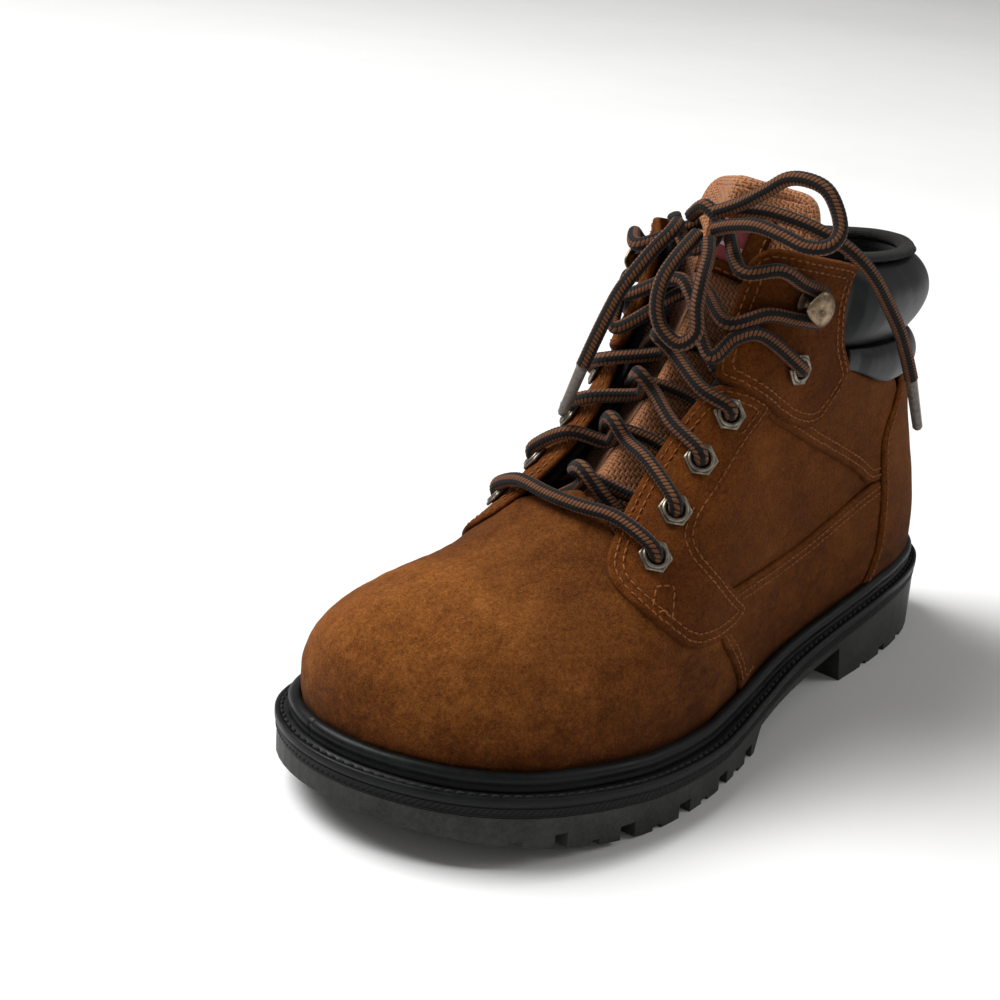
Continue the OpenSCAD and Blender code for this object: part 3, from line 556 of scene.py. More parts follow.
# ---------------------------------------------------------------- materials
class Graph:
    """A material under construction; coordinates are in millimetres."""

    def __init__(self, name, **sockets):
        self.mat = bpy.data.materials.new(name)
        self.mat.use_nodes = True
        self.tree = self.mat.node_tree
        self.shader = self.tree.nodes["Principled BSDF"]
        for key, value in sockets.items():
            self.shader.inputs[key.replace("_", " ")].default_value = value
        self.mm = self.node("ShaderNodeVectorMath", {"operation": "SCALE"},
                            {0: self.node("ShaderNodeTexCoord").outputs["Object"],
                             "Scale": 1000.0}).outputs[0]

    def node(self, kind, props=None, inputs=None):
        n = self.tree.nodes.new(kind)
        for key, value in (props or {}).items():
            setattr(n, key, value)
        for key, value in (inputs or {}).items():
            if isinstance(value, bpy.types.NodeSocket):
                self.tree.links.new(value, n.inputs[key])
            else:
                n.inputs[key].default_value = value
        return n

    def noise(self, size, detail=3.0, rough=0.55, vector=None, distortion=0.0):
        return self.node("ShaderNodeTexNoise", None, {
            "Vector": vector or self.mm, "Scale": 1.0 / size, "Detail": detail,
            "Roughness": rough, "Distortion": distortion}).outputs["Fac"]

    def stretch(self, x, y, z):
        return self.node("ShaderNodeVectorMath", {"operation": "MULTIPLY"},
                         {0: self.mm, 1: (x, y, z)}).outputs[0]

    def uv(self):
        return self.node("ShaderNodeTexCoord").outputs["UV"]

    def split(self, vector):
        """The X, Y and Z of a vector."""
        return self.node("ShaderNodeSeparateXYZ", None, {0: vector}).outputs

    def math(self, operation, a, b=0.0, c=0.0):
        return self.node("ShaderNodeMath", {"operation": operation}, {0: a, 1: b, 2: c}).outputs[0]

    def ramp(self, fac, *stops):
        n = self.node("ShaderNodeValToRGB", None, {"Fac": fac})
        elements = n.color_ramp.elements
        while len(elements) < len(stops):
            elements.new(0.5)
        for e, (place, colour) in zip(elements, stops):
            e.position = place
            e.color = (*colour, 1.0) if not np.isscalar(colour) else (colour,) * 3 + (1.0,)
        return n.outputs["Color"]

    def blend(self, fac, a, b, kind="MIX"):
        a, b = (x if isinstance(x, bpy.types.NodeSocket) else (*x, 1.0) for x in (a, b))
        return self.node("ShaderNodeMix", {"data_type": "RGBA", "blend_type": kind},
                         {0: fac, 6: a, 7: b}).outputs[2]

    def tint(self, colour, by, fac=1.0):
        return self.blend(fac, colour, by, "MULTIPLY")

    def weighted(self, *pairs):
        """The sum of (value, weight) pairs."""
        total = 0.0
        for value, weight in pairs:
            total = self.math("MULTIPLY_ADD", value, weight, total)
        return total

    def bump(self, height, strength, depth, normal=None):
        inputs = {"Height": height, "Strength": strength, "Distance": depth * MM}
        if normal is not None:
            inputs["Normal"] = normal
        return self.node("ShaderNodeBump", None, inputs).outputs["Normal"]

    def set(self, **sockets):
        for key, value in sockets.items():
            self.tree.links.new(value, self.shader.inputs[key.replace("_", " ")])
        return self.mat


def suede(name, dark, middle, light, painted_light=0.5, throat_darkening=0.0):
    """Napped split leather: blotches, brushed nap, painted highlight where it faces up and
    painted shade where it faces sideways or down, darker towards the bottom (partly soiling,
    partly painted shade) and, where asked, darker on up-facing suede behind the throat."""
    g = Graph(name, Sheen_Weight=0.05, Sheen_Roughness=0.5, Sheen_Tint=(0.9, 0.55, 0.3, 1.0),
              Specular_IOR_Level=0.08)
    blotch = g.noise(30, 4, 0.55)
    brushed = g.noise(6, 5, 0.65, g.stretch(0.5, 1.0, 1.0), 0.8)
    nap = g.noise(1.5, 5, 0.75)
    fibre = g.noise(0.48, 3, 0.7)
    mixed = g.weighted((blotch, 0.24), (brushed, 0.24), (nap, 0.46), (fibre, 0.4))
    colour = g.ramp(mixed, (0.52, dark), (0.665, middle), (0.82, light))
    # Painted light: suede facing up is tinted paler (painted highlight) and suede facing sideways or
    # down is tinted darker (painted shade), broken up by the large blotches.
    up = g.split(g.node("ShaderNodeNewGeometry").outputs["Normal"])["Z"]
    top = g.weighted((blotch, 0.5), (up, 0.62))
    colour = g.tint(colour, (0.5, 0.42, 0.36), g.ramp(top, (0.1, painted_light), (0.55, 0.0)))
    colour = g.tint(colour, (1.2, 1.22, 1.25), g.ramp(top, (0.5, 0.0), (0.95, painted_light)))
    place = g.split(g.mm)
    # Darker towards the bottom, fading out by about 50 mm up: partly soiling, partly painted shade.
    low = g.math("DIVIDE", g.math("MULTIPLY_ADD", brushed, 30.0, place["Z"]), 100.0)
    colour = g.tint(colour, g.ramp(low, (0.42, (0.5, 0.42, 0.34)), (0.66, (1, 1, 1))))
    scuffs = g.ramp(g.noise(13, 7, 0.75, distortion=1.8), (0.32, (0.5, 0.44, 0.38)), (0.5, (1, 1, 1)))
    colour = g.tint(colour, scuffs, 0.4)
    grain = g.ramp(g.noise(0.55, 2, 0.6), (0.36, (0.7, 0.66, 0.62)), (0.62, (1.2, 1.2, 1.2)))
    colour = g.tint(colour, grain, 0.75)
    # Darker on up-facing suede behind the throat, near the laces.
    if throat_darkening:
        throat = g.ramp(g.math("DIVIDE", place["X"], 120.0), (0.62, 1.0), (0.88, 0.0))
        throat_mask = g.math("MULTIPLY", throat, g.ramp(up, (0.5, 0.0), (0.78, throat_darkening)))
        colour = g.tint(colour, (0.52, 0.48, 0.45), throat_mask)
    rough = g.bump(nap, 0.8, 0.5)
    rough = g.bump(fibre, 0.8, 0.32, rough)
    rough = g.bump(brushed, 0.4, 0.9, rough)
    return g.set(Base_Color=colour, Normal=rough, Roughness=g.ramp(nap, (0.2, 0.85), (0.8, 1.0)))


def rubber(name, dark, light, grain=1.0, shine=0.5):
    g = Graph(name, Specular_IOR_Level=0.13)
    dust = g.noise(14, 5, 0.65)
    speck = g.noise(1.4, 4, 0.6)
    colour = g.ramp(g.weighted((dust, 0.7), (speck, 0.3)), (0.35, dark), (0.72, light))
    normal_ = g.bump(speck, 0.18 * grain, 0.25)
    normal_ = g.bump(dust, 0.2, 0.6, normal_)
    return g.set(Base_Color=colour, Normal=normal_,
                 Roughness=g.ramp(dust, (0.3, shine - 0.09), (0.75, shine + 0.16)))


def smooth_leather(name):
    """Coated black leather of the collar rolls, with fine grain and creases."""
    g = Graph(name, Specular_IOR_Level=0.16, Coat_Weight=0.01, Coat_Roughness=0.3)
    cells = g.node("ShaderNodeTexVoronoi", {"feature": "DISTANCE_TO_EDGE"},
                   {"Vector": g.mm, "Scale": 1.1}).outputs["Distance"]
    crease = g.noise(11, 3, 0.5, distortion=0.5)
    wear = g.noise(20, 4, 0.6)
    colour = g.ramp(wear, (0.3, (0.006, 0.0068, 0.007)), (0.75, (0.017, 0.0195, 0.02)))
    n = g.bump(cells, 0.16, 0.18)
    n = g.bump(crease, 0.3, 0.9, n)
    return g.set(Base_Color=colour, Normal=n, Roughness=g.ramp(wear, (0.3, 0.38), (0.8, 0.55)))


def woven(name, thread_a, thread_b, pitch, depth=0.35, use_uv=False, sheen=0.2):
    """Basket weave: over and under yarns of the pitch in mm."""
    g = Graph(name, Roughness=0.9, Sheen_Weight=sheen, Specular_IOR_Level=0.2)
    s = g.split(g.uv() if use_uv else g.mm)
    x = s["X"] if use_uv else g.math("ADD", s["X"], s["Y"])
    y = s["Y"] if use_uv else s["Z"]
    k = math.pi / pitch
    wave_x = g.math("ABSOLUTE", g.math("SINE", g.math("MULTIPLY", x, k)))
    wave_y = g.math("ABSOLUTE", g.math("SINE", g.math("MULTIPLY", y, k)))
    cell = g.math("MULTIPLY", g.math("SINE", g.math("MULTIPLY_ADD", x, k, math.pi / 2)),
                  g.math("SINE", g.math("MULTIPLY_ADD", y, k, math.pi / 2)))
    over = g.math("GREATER_THAN", cell, 0.0)
    weft = g.math("MULTIPLY", g.math("POWER", wave_x, 0.6), over)
    warp = g.math("MULTIPLY", g.math("POWER", wave_y, 0.6), g.math("SUBTRACT", 1.0, over))
    height = g.math("ADD", weft, warp)
    fray = g.noise(0.6, 3, 0.7)
    tone = g.noise(13, 3, 0.6)
    shade = g.math("MULTIPLY", height, g.math("MULTIPLY_ADD", fray, 0.5, 0.7))
    colour = g.ramp(shade, (0.12, thread_a), (0.9, thread_b))
    colour = g.tint(colour, g.ramp(tone, (0.35, (0.7, 0.68, 0.66)), (0.7, (1.1, 1.1, 1.1))), 0.5)
    return g.set(Base_Color=colour, Normal=g.bump(height, 0.8, depth, g.bump(fray, 0.3, 0.1)))


def braid_cloth(name):
    """Round braid: four lanes of slanted brown beads, with four black lanes between them."""
    g = Graph(name, Roughness=0.85, Sheen_Weight=0.08, Specular_IOR_Level=0.15)
    s = g.split(g.uv())
    along, turn = s["X"], s["Y"]
    across = g.math("SUBTRACT", g.math("FRACT", g.math("MULTIPLY", turn, 4.0)), 0.5)
    slant = g.math("MULTIPLY_ADD", across, 1.1, g.math("DIVIDE", along, BEAD))
    bead = g.math("ABSOLUTE", g.math("SINE", g.math("MULTIPLY", slant, math.pi)))
    fuzz = g.noise(0.5, 3, 0.7)
    tone = g.noise(9, 3, 0.6)
    lane = g.math("MULTIPLY_ADD", fuzz, 0.1, g.math("ABSOLUTE", across))
    lane = g.math("MULTIPLY_ADD", bead, -0.16, lane)
    brown = g.math("MULTIPLY", g.ramp(lane, (0.13, 1.0), (0.18, 0.0)),
                   g.ramp(bead, (0.3, 0.0), (0.5, 1.0)))
    black = g.ramp(fuzz, (0.3, (0.004, 0.004, 0.004)), (0.8, (0.014, 0.012, 0.011)))
    tan = g.ramp(g.weighted((tone, 0.3), (fuzz, 0.7)), (0.3, (0.085, 0.031, 0.012)),
                 (0.75, (0.23, 0.09, 0.036)))
    colour = g.blend(brown, black, tan)
    return g.set(Base_Color=colour,
                 Normal=g.bump(bead, 0.6, 0.22, g.bump(fuzz, 0.4, 0.12)),
                 Roughness=g.ramp(fuzz, (0.3, 0.75), (0.8, 0.95)))


def metal(name, bright, dull, patina):
    g = Graph(name, Metallic=1.0)
    wear = g.noise(3.2, 5, 0.65)
    fine_ = g.noise(0.7, 4, 0.6)
    colour = g.ramp(wear, (0.3, patina), (0.5, dull), (0.75, bright))
    return g.set(Base_Color=colour, Roughness=g.ramp(wear, (0.3, 0.55), (0.75, 0.28)),
                 Normal=g.bump(fine_, 0.15, 0.15, g.bump(wear, 0.15, 0.3)))


def thread(name, dark, light):
    g = Graph(name, Roughness=0.8, Sheen_Weight=0.04, Specular_IOR_Level=0.2)
    twist = g.noise(0.45, 3, 0.6)
    tone = g.noise(6, 3, 0.6)
    colour = g.ramp(g.weighted((twist, 0.4), (tone, 0.6)), (0.3, dark), (0.7, light))
    return g.set(Base_Color=colour, Normal=g.bump(twist, 0.5, 0.12))


def plain(name, dark, light, size, rough, metallic=0.0, depth=0.3):
    g = Graph(name, Metallic=metallic)
    a = g.noise(size, 5, 0.6)
    b = g.noise(size * 0.15, 3, 0.6)
    colour = g.ramp(g.weighted((b, 0.4), (a, 0.6)), (0.32, dark), (0.7, light))
    return g.set(Base_Color=colour, Normal=g.bump(b, 0.4, depth),
                 Roughness=g.ramp(a, (0.3, max(0.05, rough - 0.1)), (0.8, min(1, rough + 0.1))))


def label_cloth(name):
    """Small woven label: plain red field, pale bars along its edges."""
    g = Graph(name, Roughness=0.85, Sheen_Weight=0.2)
    s = g.split(g.uv())
    x, y = s["X"], s["Y"]
    weave = g.math("MULTIPLY", g.math("SINE", g.math("MULTIPLY", x, 14.0)),
                   g.math("SINE", g.math("MULTIPLY", y, 14.0)))
    across = g.math("ABSOLUTE", y)
    bar = g.math("MULTIPLY", g.math("GREATER_THAN", across, 4.6), g.math("LESS_THAN", across, 5.8))
    tone = g.noise(4, 4, 0.6)
    red = g.ramp(tone, (0.3, (0.22, 0.025, 0.03)), (0.7, (0.36, 0.05, 0.055)))
    pale = g.ramp(tone, (0.3, (0.5, 0.42, 0.36)), (0.7, (0.66, 0.58, 0.5)))
    return g.set(Base_Color=g.blend(bar, red, pale), Normal=g.bump(weave, 0.5, 0.15))


SUEDE_LIGHT = suede("suede_light", (0.078, 0.022, 0.004), (0.175, 0.056, 0.0105),
                    (0.29, 0.105, 0.023), 0.85, 0.85)
SUEDE_MID = suede("suede_mid", (0.07, 0.0185, 0.0028), (0.14, 0.041, 0.006),
                  (0.225, 0.074, 0.013), 0.7)
SUEDE_DARK = suede("suede_dark", (0.062, 0.0155, 0.0025), (0.122, 0.034, 0.0053),
                   (0.2, 0.062, 0.0115), 0.7)
RUBBER = rubber("rubber_sole", (0.016, 0.0165, 0.0155), (0.062, 0.063, 0.058), 1.0, 0.5)
WELT_RUBBER = rubber("rubber_welt", (0.0042, 0.0045, 0.0045), (0.013, 0.014, 0.014), 0.6, 0.42)
COLLAR = smooth_leather("collar_leather")
NYLON = woven("tongue_nylon", (0.11, 0.038, 0.016), (0.45, 0.185, 0.075), 1.5, 0.5, use_uv=True)
LINING = woven("lining_black", (0.005, 0.005, 0.0052), (0.02, 0.02, 0.021), 0.8, 0.2, sheen=0.05)
TAPE = woven("binding_tape", (0.004, 0.004, 0.0042), (0.02, 0.019, 0.018), 0.55, 0.2, sheen=0.05)
BOARD = plain("board", (0.3, 0.22, 0.14), (0.5, 0.4, 0.28), 6, 0.9)
STEEL = plain("steel", (0.35, 0.35, 0.36), (0.62, 0.62, 0.63), 12, 0.35, 1.0, 0.05)
CORK = plain("cork", (0.22, 0.13, 0.07), (0.5, 0.34, 0.2), 3, 0.95, 0.0, 0.5)
FOOTBED = woven("footbed_cloth", (0.01, 0.01, 0.011), (0.045, 0.044, 0.042), 0.9, 0.2)
FOAM = plain("foam", (0.5, 0.46, 0.36), (0.75, 0.7, 0.6), 2, 0.95, 0.0, 0.4)
LINEN = woven("lining_cloth", (0.22, 0.19, 0.15), (0.42, 0.37, 0.3), 0.8, 0.2)
METAL = metal("antique_metal", (0.38, 0.33, 0.26), (0.23, 0.2, 0.155), (0.065, 0.055, 0.045))
BRASS = metal("hook_metal", (0.4, 0.3, 0.19), (0.25, 0.18, 0.115), (0.07, 0.05, 0.034))
LACE = braid_cloth("lace_braid")
THREAD = thread("thread_tan", (0.15, 0.046, 0.011), (0.33, 0.125, 0.036))
THREAD_BLACK = thread("thread_black", (0.007, 0.007, 0.007), (0.035, 0.034, 0.033))
AGLET = plain("aglet_plastic", (0.05, 0.035, 0.028), (0.2, 0.165, 0.14), 1.6, 0.22, 0.0, 0.05)
LABEL = label_cloth("label_cloth")


# ---------------------------------------------------------------- camera
def aim(azimuth, elevation, roll, distance, target):
    a, e, r = (math.radians(x) for x in (azimuth, elevation, roll))
    back = Vector((math.cos(e) * math.cos(a), math.cos(e) * math.sin(a), math.sin(e)))
    right = Vector((-math.sin(a), math.cos(a), 0))
    up = back.cross(right)
    x = right * math.cos(r) + up * math.sin(r)
    y = up * math.cos(r) - right * math.sin(r)
    turn = Matrix((x, y, back)).transposed().to_4x4()
    return Matrix.Translation((Vector(target) + back * distance) * MM) @ turn


camera = bpy.data.objects.new("camera", bpy.data.cameras.new("camera"))
bpy.context.scene.collection.objects.link(camera)
camera.data.sensor_width = 36
camera.data.lens = 68.74
camera.matrix_world = aim(azimuth=42.02, elevation=21.2, roll=3.77, distance=712.37,
                          target=(11.71, -68.94, 60))
bpy.context.scene.camera = camera


# ---------------------------------------------------------------- lace
def lace_piece(name, points, node):
    path = fine(points, 0.4)
    verts, faces, uv = sweep(path, braid, 32)
    return build(name, verts, faces, LACE, "boot", uv, [node], "lace_braid"), path


def aglet(name, start, end, node):
    """A clear crimped sleeve on the end of the lace."""
    path = fine([np.array(start) + (np.array(end) - start) * f for f in (0, 0.33, 0.66, 1)], 0.4)
    long = np.linalg.norm(np.subtract(end, start))

    def radius(u, v):
        taper = 2.1 - 0.3 * u / long
        rim = np.where(u < 0.5, 0.15, 0) - np.where(u > long - 0.5, 0.5, 0)
        return taper + rim - 0.08 * (np.cos(v * 12 * math.pi) > 0.75) * (u > 3)
    verts, faces, uv = sweep(path, radius, 28)
    return build(name, verts, faces, AGLET, "boot", uv, [node], "aglet_plastic")


LOOP_RIGHT = [(1, 8, 183), (-1, 16, 187), (-2, 25, 193), (-3, 32, 198), (-4, 39, 199),
              (-5, 46, 197), (-5, 51, 191), (-3, 54, 185), (1, 53, 181), (4, 47, 180),
              (5, 38, 182), (5, 28, 183), (4, 18, 181), (3, 10, 178)]
LOOP_LEFT = [(7, 6, 176), (12, 7, 174), (20, 8, 170), (26, 8, 164), (29, 9, 156), (29, 12, 149),
             (27, 18, 145), (24, 22, 149), (22, 20, 157), (18, 18, 165), (12, 15, 171),
             (7, 11, 175)]
END_RIGHT = [(-6, 12, 184), (-11, 20, 184), (-16, 30, 182), (-22, 39, 178), (-29, 45, 172),
             (-37, 48, 164), (-46, 49, 154), (-54, 50, 144), (-61, 50, 134), (-67, 50, 124)]
END_LEFT = [(6, -3, 178), (12, -1, 176), (17, -3, 171), (22, -5, 165), (27, -8, 157),
            (31, -10, 148), (34, -12, 139), (36, -14, 131)]
AGLET_RIGHT = [(-67, 50, 124), (-75, 51, 104)]
AGLET_LEFT = [(36, -14, 131), (39, -19, 113)]
KNOT = [(-6, -7, 178), (-4, 0, 183), (-3, 7, 179), (-1, 6, 172), (1, -1, 169), (-1, -7, 173),
        (2, -8, 179)]
for side_name, loop, end, sleeve in (("right", LOOP_RIGHT, END_RIGHT, AGLET_RIGHT),
                                     ("left", LOOP_LEFT, END_LEFT, AGLET_LEFT)):
    obj, path = lace_piece("loop_" + side_name, loop, "bow_loop_" + side_name)
    tip = aglet("sleeve_" + side_name, *sleeve, "aglet_" + side_name)
    obj, path = lace_piece("end_" + side_name, end, "lace_end_" + side_name)
lace_piece("laced_run", half_lace(-1)[::-1] + half_lace(1), "lace")
lace_piece("bow_knot", KNOT, "lace_knot")

# ---------------------------------------------------------------- upper: suede
sewn_tan = []


def grid_uv(u0, u1, n, v0, v1, m):
    return np.meshgrid(np.linspace(u0, u1, n), np.linspace(v0, v1, m), indexing="ij")


def shell_piece(name, u, v, hi, lo, material, nodes, slot):
    """A sheet over a grid of (u, v) between two heights above S."""
    return build(name, *slab(above(u, v, hi), above(u, v, np.full(u.shape, float(lo)))), material,
                 "boot", nodes=nodes, slot=slot)


# u of an edge at each v: the vamp's rear one, and further down the lining's front one.
VAMP_BACK = table(((0, 5.75), (0.08, 5.8), (0.18, 6.1), (0.23, 6.45), (0.29, 7.3), (0.38, 7.8),
                   (0.49, 8.25), (0.6, 8.6), (0.7, 8.85), (0.85, 9.15), (1, 9.4)))


def vamp():
    """The toe and vamp in one piece, folded over the ridge where both halves meet."""
    n, m = 221, 64
    t, v = grid_uv(0, 1, n, 0, 1, m)
    back = VAMP_BACK(v)
    u = back + t * (N2 - 2 * back)
    line_v = np.linspace(0, 1, 90)
    rear = np.concatenate([surface(VAMP_BACK(line_v), line_v),
                           surface(N2 - VAMP_BACK(line_v), line_v)])
    base = surface(u, v)
    d = distance(base.reshape(-1, 3), rear).reshape(u.shape)
    h = 0.25 * noise3(base, 16, 5) + 0.12 * noise3(base, 4.5, 8)
    h = h * smooth_step(d, 0, 6)
    h -= 0.8 * (1 - rounded(d, EDGE_RADIUS))
    crease = np.exp(-((base[..., 0] - 88) / 9) ** 2) * np.exp(-((v - 0.7) / 0.3) ** 2)
    h -= 0.5 * crease * (0.6 + 0.4 * noise3(base, 12, 2))
    nrm = normal(u, v)
    ridge = unit(nrm[:, -1] + nrm[::-1, -1])
    nrm[:, -1] = ridge
    h[:, -1] = 0.5 * (h[:, -1] + h[::-1, -1])
    upper = (base + nrm * h[..., None]).reshape(-1, 3)
    lower = (base - nrm * 1.8).reshape(-1, 3)
    same = np.arange(n * m).reshape(n, m)
    for k in range(n // 2 + 1, n):
        same[k, -1] = same[n - 1 - k, -1]
    same = same.ravel().tolist()
    faces = [tuple(dict.fromkeys(same[i] for i in f)) for f in grid_faces(n, m, turn=True)]
    faces = [f for f in faces if len(f) > 2]
    build("vamp_leather", *thicken(upper, lower, faces), SUEDE_LIGHT, "boot", nodes=["vamp"],
          slot="suede_light")


vamp()

SIDE_PANEL = ((6.1, 0.715), (5.3, 0.69), (4.5, 0.62), (3.8, 0.55), (3.1, 0.47), (3.08, 0.36),
              (3.8, 0.33), (4.5, 0.29), (5.5, 0.26), (6.2, 0.245), (7.0, 0.285), (7.9, 0.43),
              (7.9, 0.55), (6.9, 0.645))
FOXING = ((2.3, 0.006), (2.3, 0.42), (3.29, 0.405), (3.71, 0.386), (4.7, 0.332), (6.02, 0.327),
          (6.9, 0.33), (6.62, 0.235), (6.24, 0.165), (5.98, 0.09), (5.92, 0.006))
BAND = ((2.3, 0.405), (3.2, 0.412), (3.35, 0.43), (3.48, 0.456), (3.79, 0.5), (4.29, 0.552),
        (5.04, 0.616), (5.73, 0.658), (6.3, 0.69), (6.2, 0.745), (5.6, 0.77), (5, 0.785),
        (4.3, 0.765), (3.9, 0.745), (3.5, 0.72), (3.1, 0.705), (2.3, 0.69))
EYESTAY = ((8.96, 0.719), (9.06, 0.681), (8.98, 0.606), (8.66, 0.489), (8.23, 0.378),
           (7.71, 0.291), (7.3, 0.253), (6.84, 0.24), (6.31, 0.243), (5.92, 0.271), (6.1, 0.3),
           (6.77, 0.374), (7.38, 0.447), (7.6, 0.492), (7.57, 0.518), (7.34, 0.538),
           (6.99, 0.565), (6.58, 0.61), (6.2, 0.647), (5.8, 0.692), (6.15, 0.702),
           (6.87, 0.725), (7.23, 0.753), (7.62, 0.791), (8.16, 0.806), (8.51, 0.8),
           (8.82, 0.763))
TAB = ((6.78, 0.998), (6.98, 0.94), (7.2, 0.88), (7.4, 0.83), (7.46, 0.79), (7.23, 0.753),
       (6.73, 0.71), (5.97, 0.683), (5.41, 0.649), (4.97, 0.635), (4.71, 0.646), (4.33, 0.71),
       (4.15, 0.753), (4.5, 0.832), (4.6, 0.892), (4.57, 0.963), (4.4, 0.998))


def puffed(middle_u, middle_v, top, low):
    """A panel a little higher in its middle, where it is padded."""
    def height(u, v):
        far = np.hypot((u - middle_u) / 1.9, (v - middle_v) / 0.16)
        return low + (top - low) * np.clip(1 - far ** 2, 0, 1)
    return height


def tab_height(u, v):
    """Low where the tab is sewn to the band, higher over the eyestay's end and the roll."""
    over_stay = smooth_step(u, 5.7, 6.3) * (1 - smooth_step(v, 0.76, 0.84))
    over_roll = (1 - smooth_step(u, 4.5, 5.3)) * smooth_step(v, 0.8, 0.86)
    return 2.3 + 1.0 * np.maximum(over_stay, over_roll) + 0.35 * smooth_step(v, 0.86, 1)


def lapped(u, v):
    """The quarter's front edge rises where it laps over the vamp."""
    back = VAMP_BACK(v)
    return 1.25 * smooth_step(u, back - 0.3, back + 0.02)


for side, where in ((1, "outer"), (-1, "inner")):
    panel("window_" + where, SIDE_PANEL, side, -3.5, puffed(5.2, 0.47, -0.75, -1.9), SUEDE_MID,
          ["side_panel_" + where], "suede_mid", rows=(), step=2.4)
    for label, outline, lo, hi, material, node, slot_, skip in (
            ("foxing", FOXING, -1.8, lapped, SUEDE_MID, "foxing_", "suede_mid",
             lambda u, v: (v < 0.26) & (u < 5.5) | (u < 2.95) | (v < 0.06)),
            ("band", BAND, -1.8, 0, SUEDE_MID, "quarter_band_", "suede_mid",
             lambda u, v: (u < 2.95) | (v > 0.56 + 0.03 * u) | (u > 5.7)),
            ("stay", EYESTAY, 0.05, 1.7, SUEDE_DARK, "eyestay_", "suede_dark", None),
            ("tab", TAB, 0.3, tab_height, SUEDE_DARK, "collar_tab_", "suede_dark",
             lambda u, v: v > 0.985)):
        _, runs = panel(label + "_" + where, outline, side, lo, hi, material, [node + where],
                        slot_, skip=skip)
        sewn_tan.extend(runs)


def eased(pairs, width):
    """A table with its corners rounded."""
    f = table(pairs)
    return lambda x: sum(f(x + width * k / 4) for k in range(-4, 5)) / 9


# u of the heel cover's front edge at each v.
HEEL_U = eased(((0, 3.42), (0.075, 3.2), (0.13, 3.09), (0.2, 3.02), (0.33, 2.97), (0.54, 3.02),
                (0.58, 2.9), (0.62, 2.55), (0.69, 2.3)), 0.045)


def sewn_line(u, v, h):
    sewn_tan.extend(stitch_runs(above(u, v, h), normal(u, v), np.ones(len(u), bool), False))


def heel_cover():
    s, v = grid_uv(-1, 1, 121, 0.008, 0.69, 61)
    u = s * HEEL_U(v)
    base = surface(u, v)
    side_gap = (1 - np.abs(s)) * HEEL_U(v) * np.linalg.norm(
        surface(u + 0.05, v) - surface(u - 0.05, v), axis=-1) / 0.1
    top_gap = (0.69 - v) * 150
    d = np.minimum(side_gap, top_gap)
    h = 1.7 + 0.2 * noise3(base, 13, 1) - 0.9 * (1 - rounded(d, 1.2))
    h -= 0.22 * groove(d, SEAMS[0])
    shell_piece("heel_leather", u, v, h, 0.05, SUEDE_MID, ["heel_cover"], "suede_mid")
    for sgn in (1, -1):
        line = np.linspace(0.03, 0.655, 160)
        wide = np.linalg.norm(surface(3.05, line) - surface(2.95, line), axis=-1) / 0.1
        uu = sgn * (HEEL_U(line) - SEAMS[0] / wide)
        sewn_line(uu, line, 1.55)


def bar_tack(side):
    """The sewn box that holds the foot of the eyestay."""
    corners = np.array(((8.31, 0.428), (8.29, 0.472), (7.97, 0.434), (7.95, 0.362)))
    k = np.linspace(0, 3, 61)
    u, v = (np.interp(k, range(4), corners[:, c]) for c in (0, 1))
    sewn_line(mirrored(u, side), v, 1.56)


def loose_thread():
    """The frayed end at the bar tack."""
    route = ((8.2, 0.404, 1.5), (8.15, 0.401, 2.5), (8.1, 0.393, 2.7), (8.06, 0.382, 2.2),
             (8.02, 0.376, 2.6))
    path = fine([at(u, v, h, 1) for u, v, h in route], 0.3)
    verts, faces, _ = sweep(path, lambda u, v: 0.28 + 0.05 * np.sin(u * 4), 8)
    build("loose_thread", verts, faces, THREAD, "boot", slot="suede_light")


heel_cover()
bar_tack(1)
bar_tack(-1)
loose_thread()
stitches("thread_rows", sewn_tan, THREAD, slot="suede_light")

# ---------------------------------------------------------------- lining and collar
LINING_U = table(((0, 5.65), (0.08, 5.7), (0.18, 6), (0.23, 6.35), (0.29, 7.2), (0.38, 7.7),
                  (0.49, 8.15), (0.6, 8.5), (0.7, 8.65), (0.75, 8.55), (0.78, 8.2), (0.8, 7.6),
                  (0.83, 7.3), (0.88, 7.1), (0.94, 6.9), (0.985, 6.75)))


def quarter_lining():
    s, v = grid_uv(-1, 1, 161, 0, 0.985, 71)
    shell_piece("lining_quarter", s * LINING_U(v), v, np.full(s.shape, -4.0), -5.2, LINING,
                ["quarter_lining"], "lining_black")


quarter_lining()
# How full a roll is, by its distance from the heel in u.
FULL = table(((0, 1), (3.4, 0.98), (3.75, 0.95), (4, 0.86), (4.2, 0.7), (4.4, 0.4), (4.7, 0.28)))


def collar_roll(name, node, reach, v0, v1, lo, hi, low, seed, lean=1.0, rise=0.0):
    """One padded roll: full in the middle, pulled in and puckered along its seams."""
    u, t = grid_uv(-reach, reach, 321, 0, 1, 41)
    v0 = v0 + rise * smooth_step(np.abs(u), 0.7 * reach, 1.02 * reach)
    v = v0 + t * (v1 - v0)
    full = FULL(np.abs(u) * 4.7 / reach)
    base = surface(u, v)
    arch = np.sin(math.pi * (t ** lean * 0.945 + 0.027)) ** 0.55
    wave = np.stack([u * 24, t * 9, 0 * u], -1)
    folds = noise3(wave, 14, seed) * 0.4 + noise3(wave, 5, seed + 4) * 0.1
    seam = 1 - np.sin(math.pi * t) ** 0.8
    broad = 0.4 * noise3(base, 26, seed)
    h = lo + (hi - lo) * arch * full + (folds * (0.25 + 0.9 * seam) * arch + broad * arch) * full
    obj = shell_piece(name, u, v, h, low, COLLAR, [node], "collar_leather")


collar_roll("roll_upper", "collar_pad_upper", 4.7, 0.805, 0.985, -3.0, 7.6, -3.7, 3, 1.25)
collar_roll("roll_lower", "collar_pad_lower", 4.23, 0.7, 0.8, 0.6, 4.8, 0.35, 11, rise=0.055)

RIM_SHAPE = chaikin(((-5.3, -1), (-5.9, 0.8), (-5, 2.5), (-3, 3.2), (-1, 3.2), (0.1, 2.4),
                     (0.5, 1.1), (0.3, 0.3)), 1)


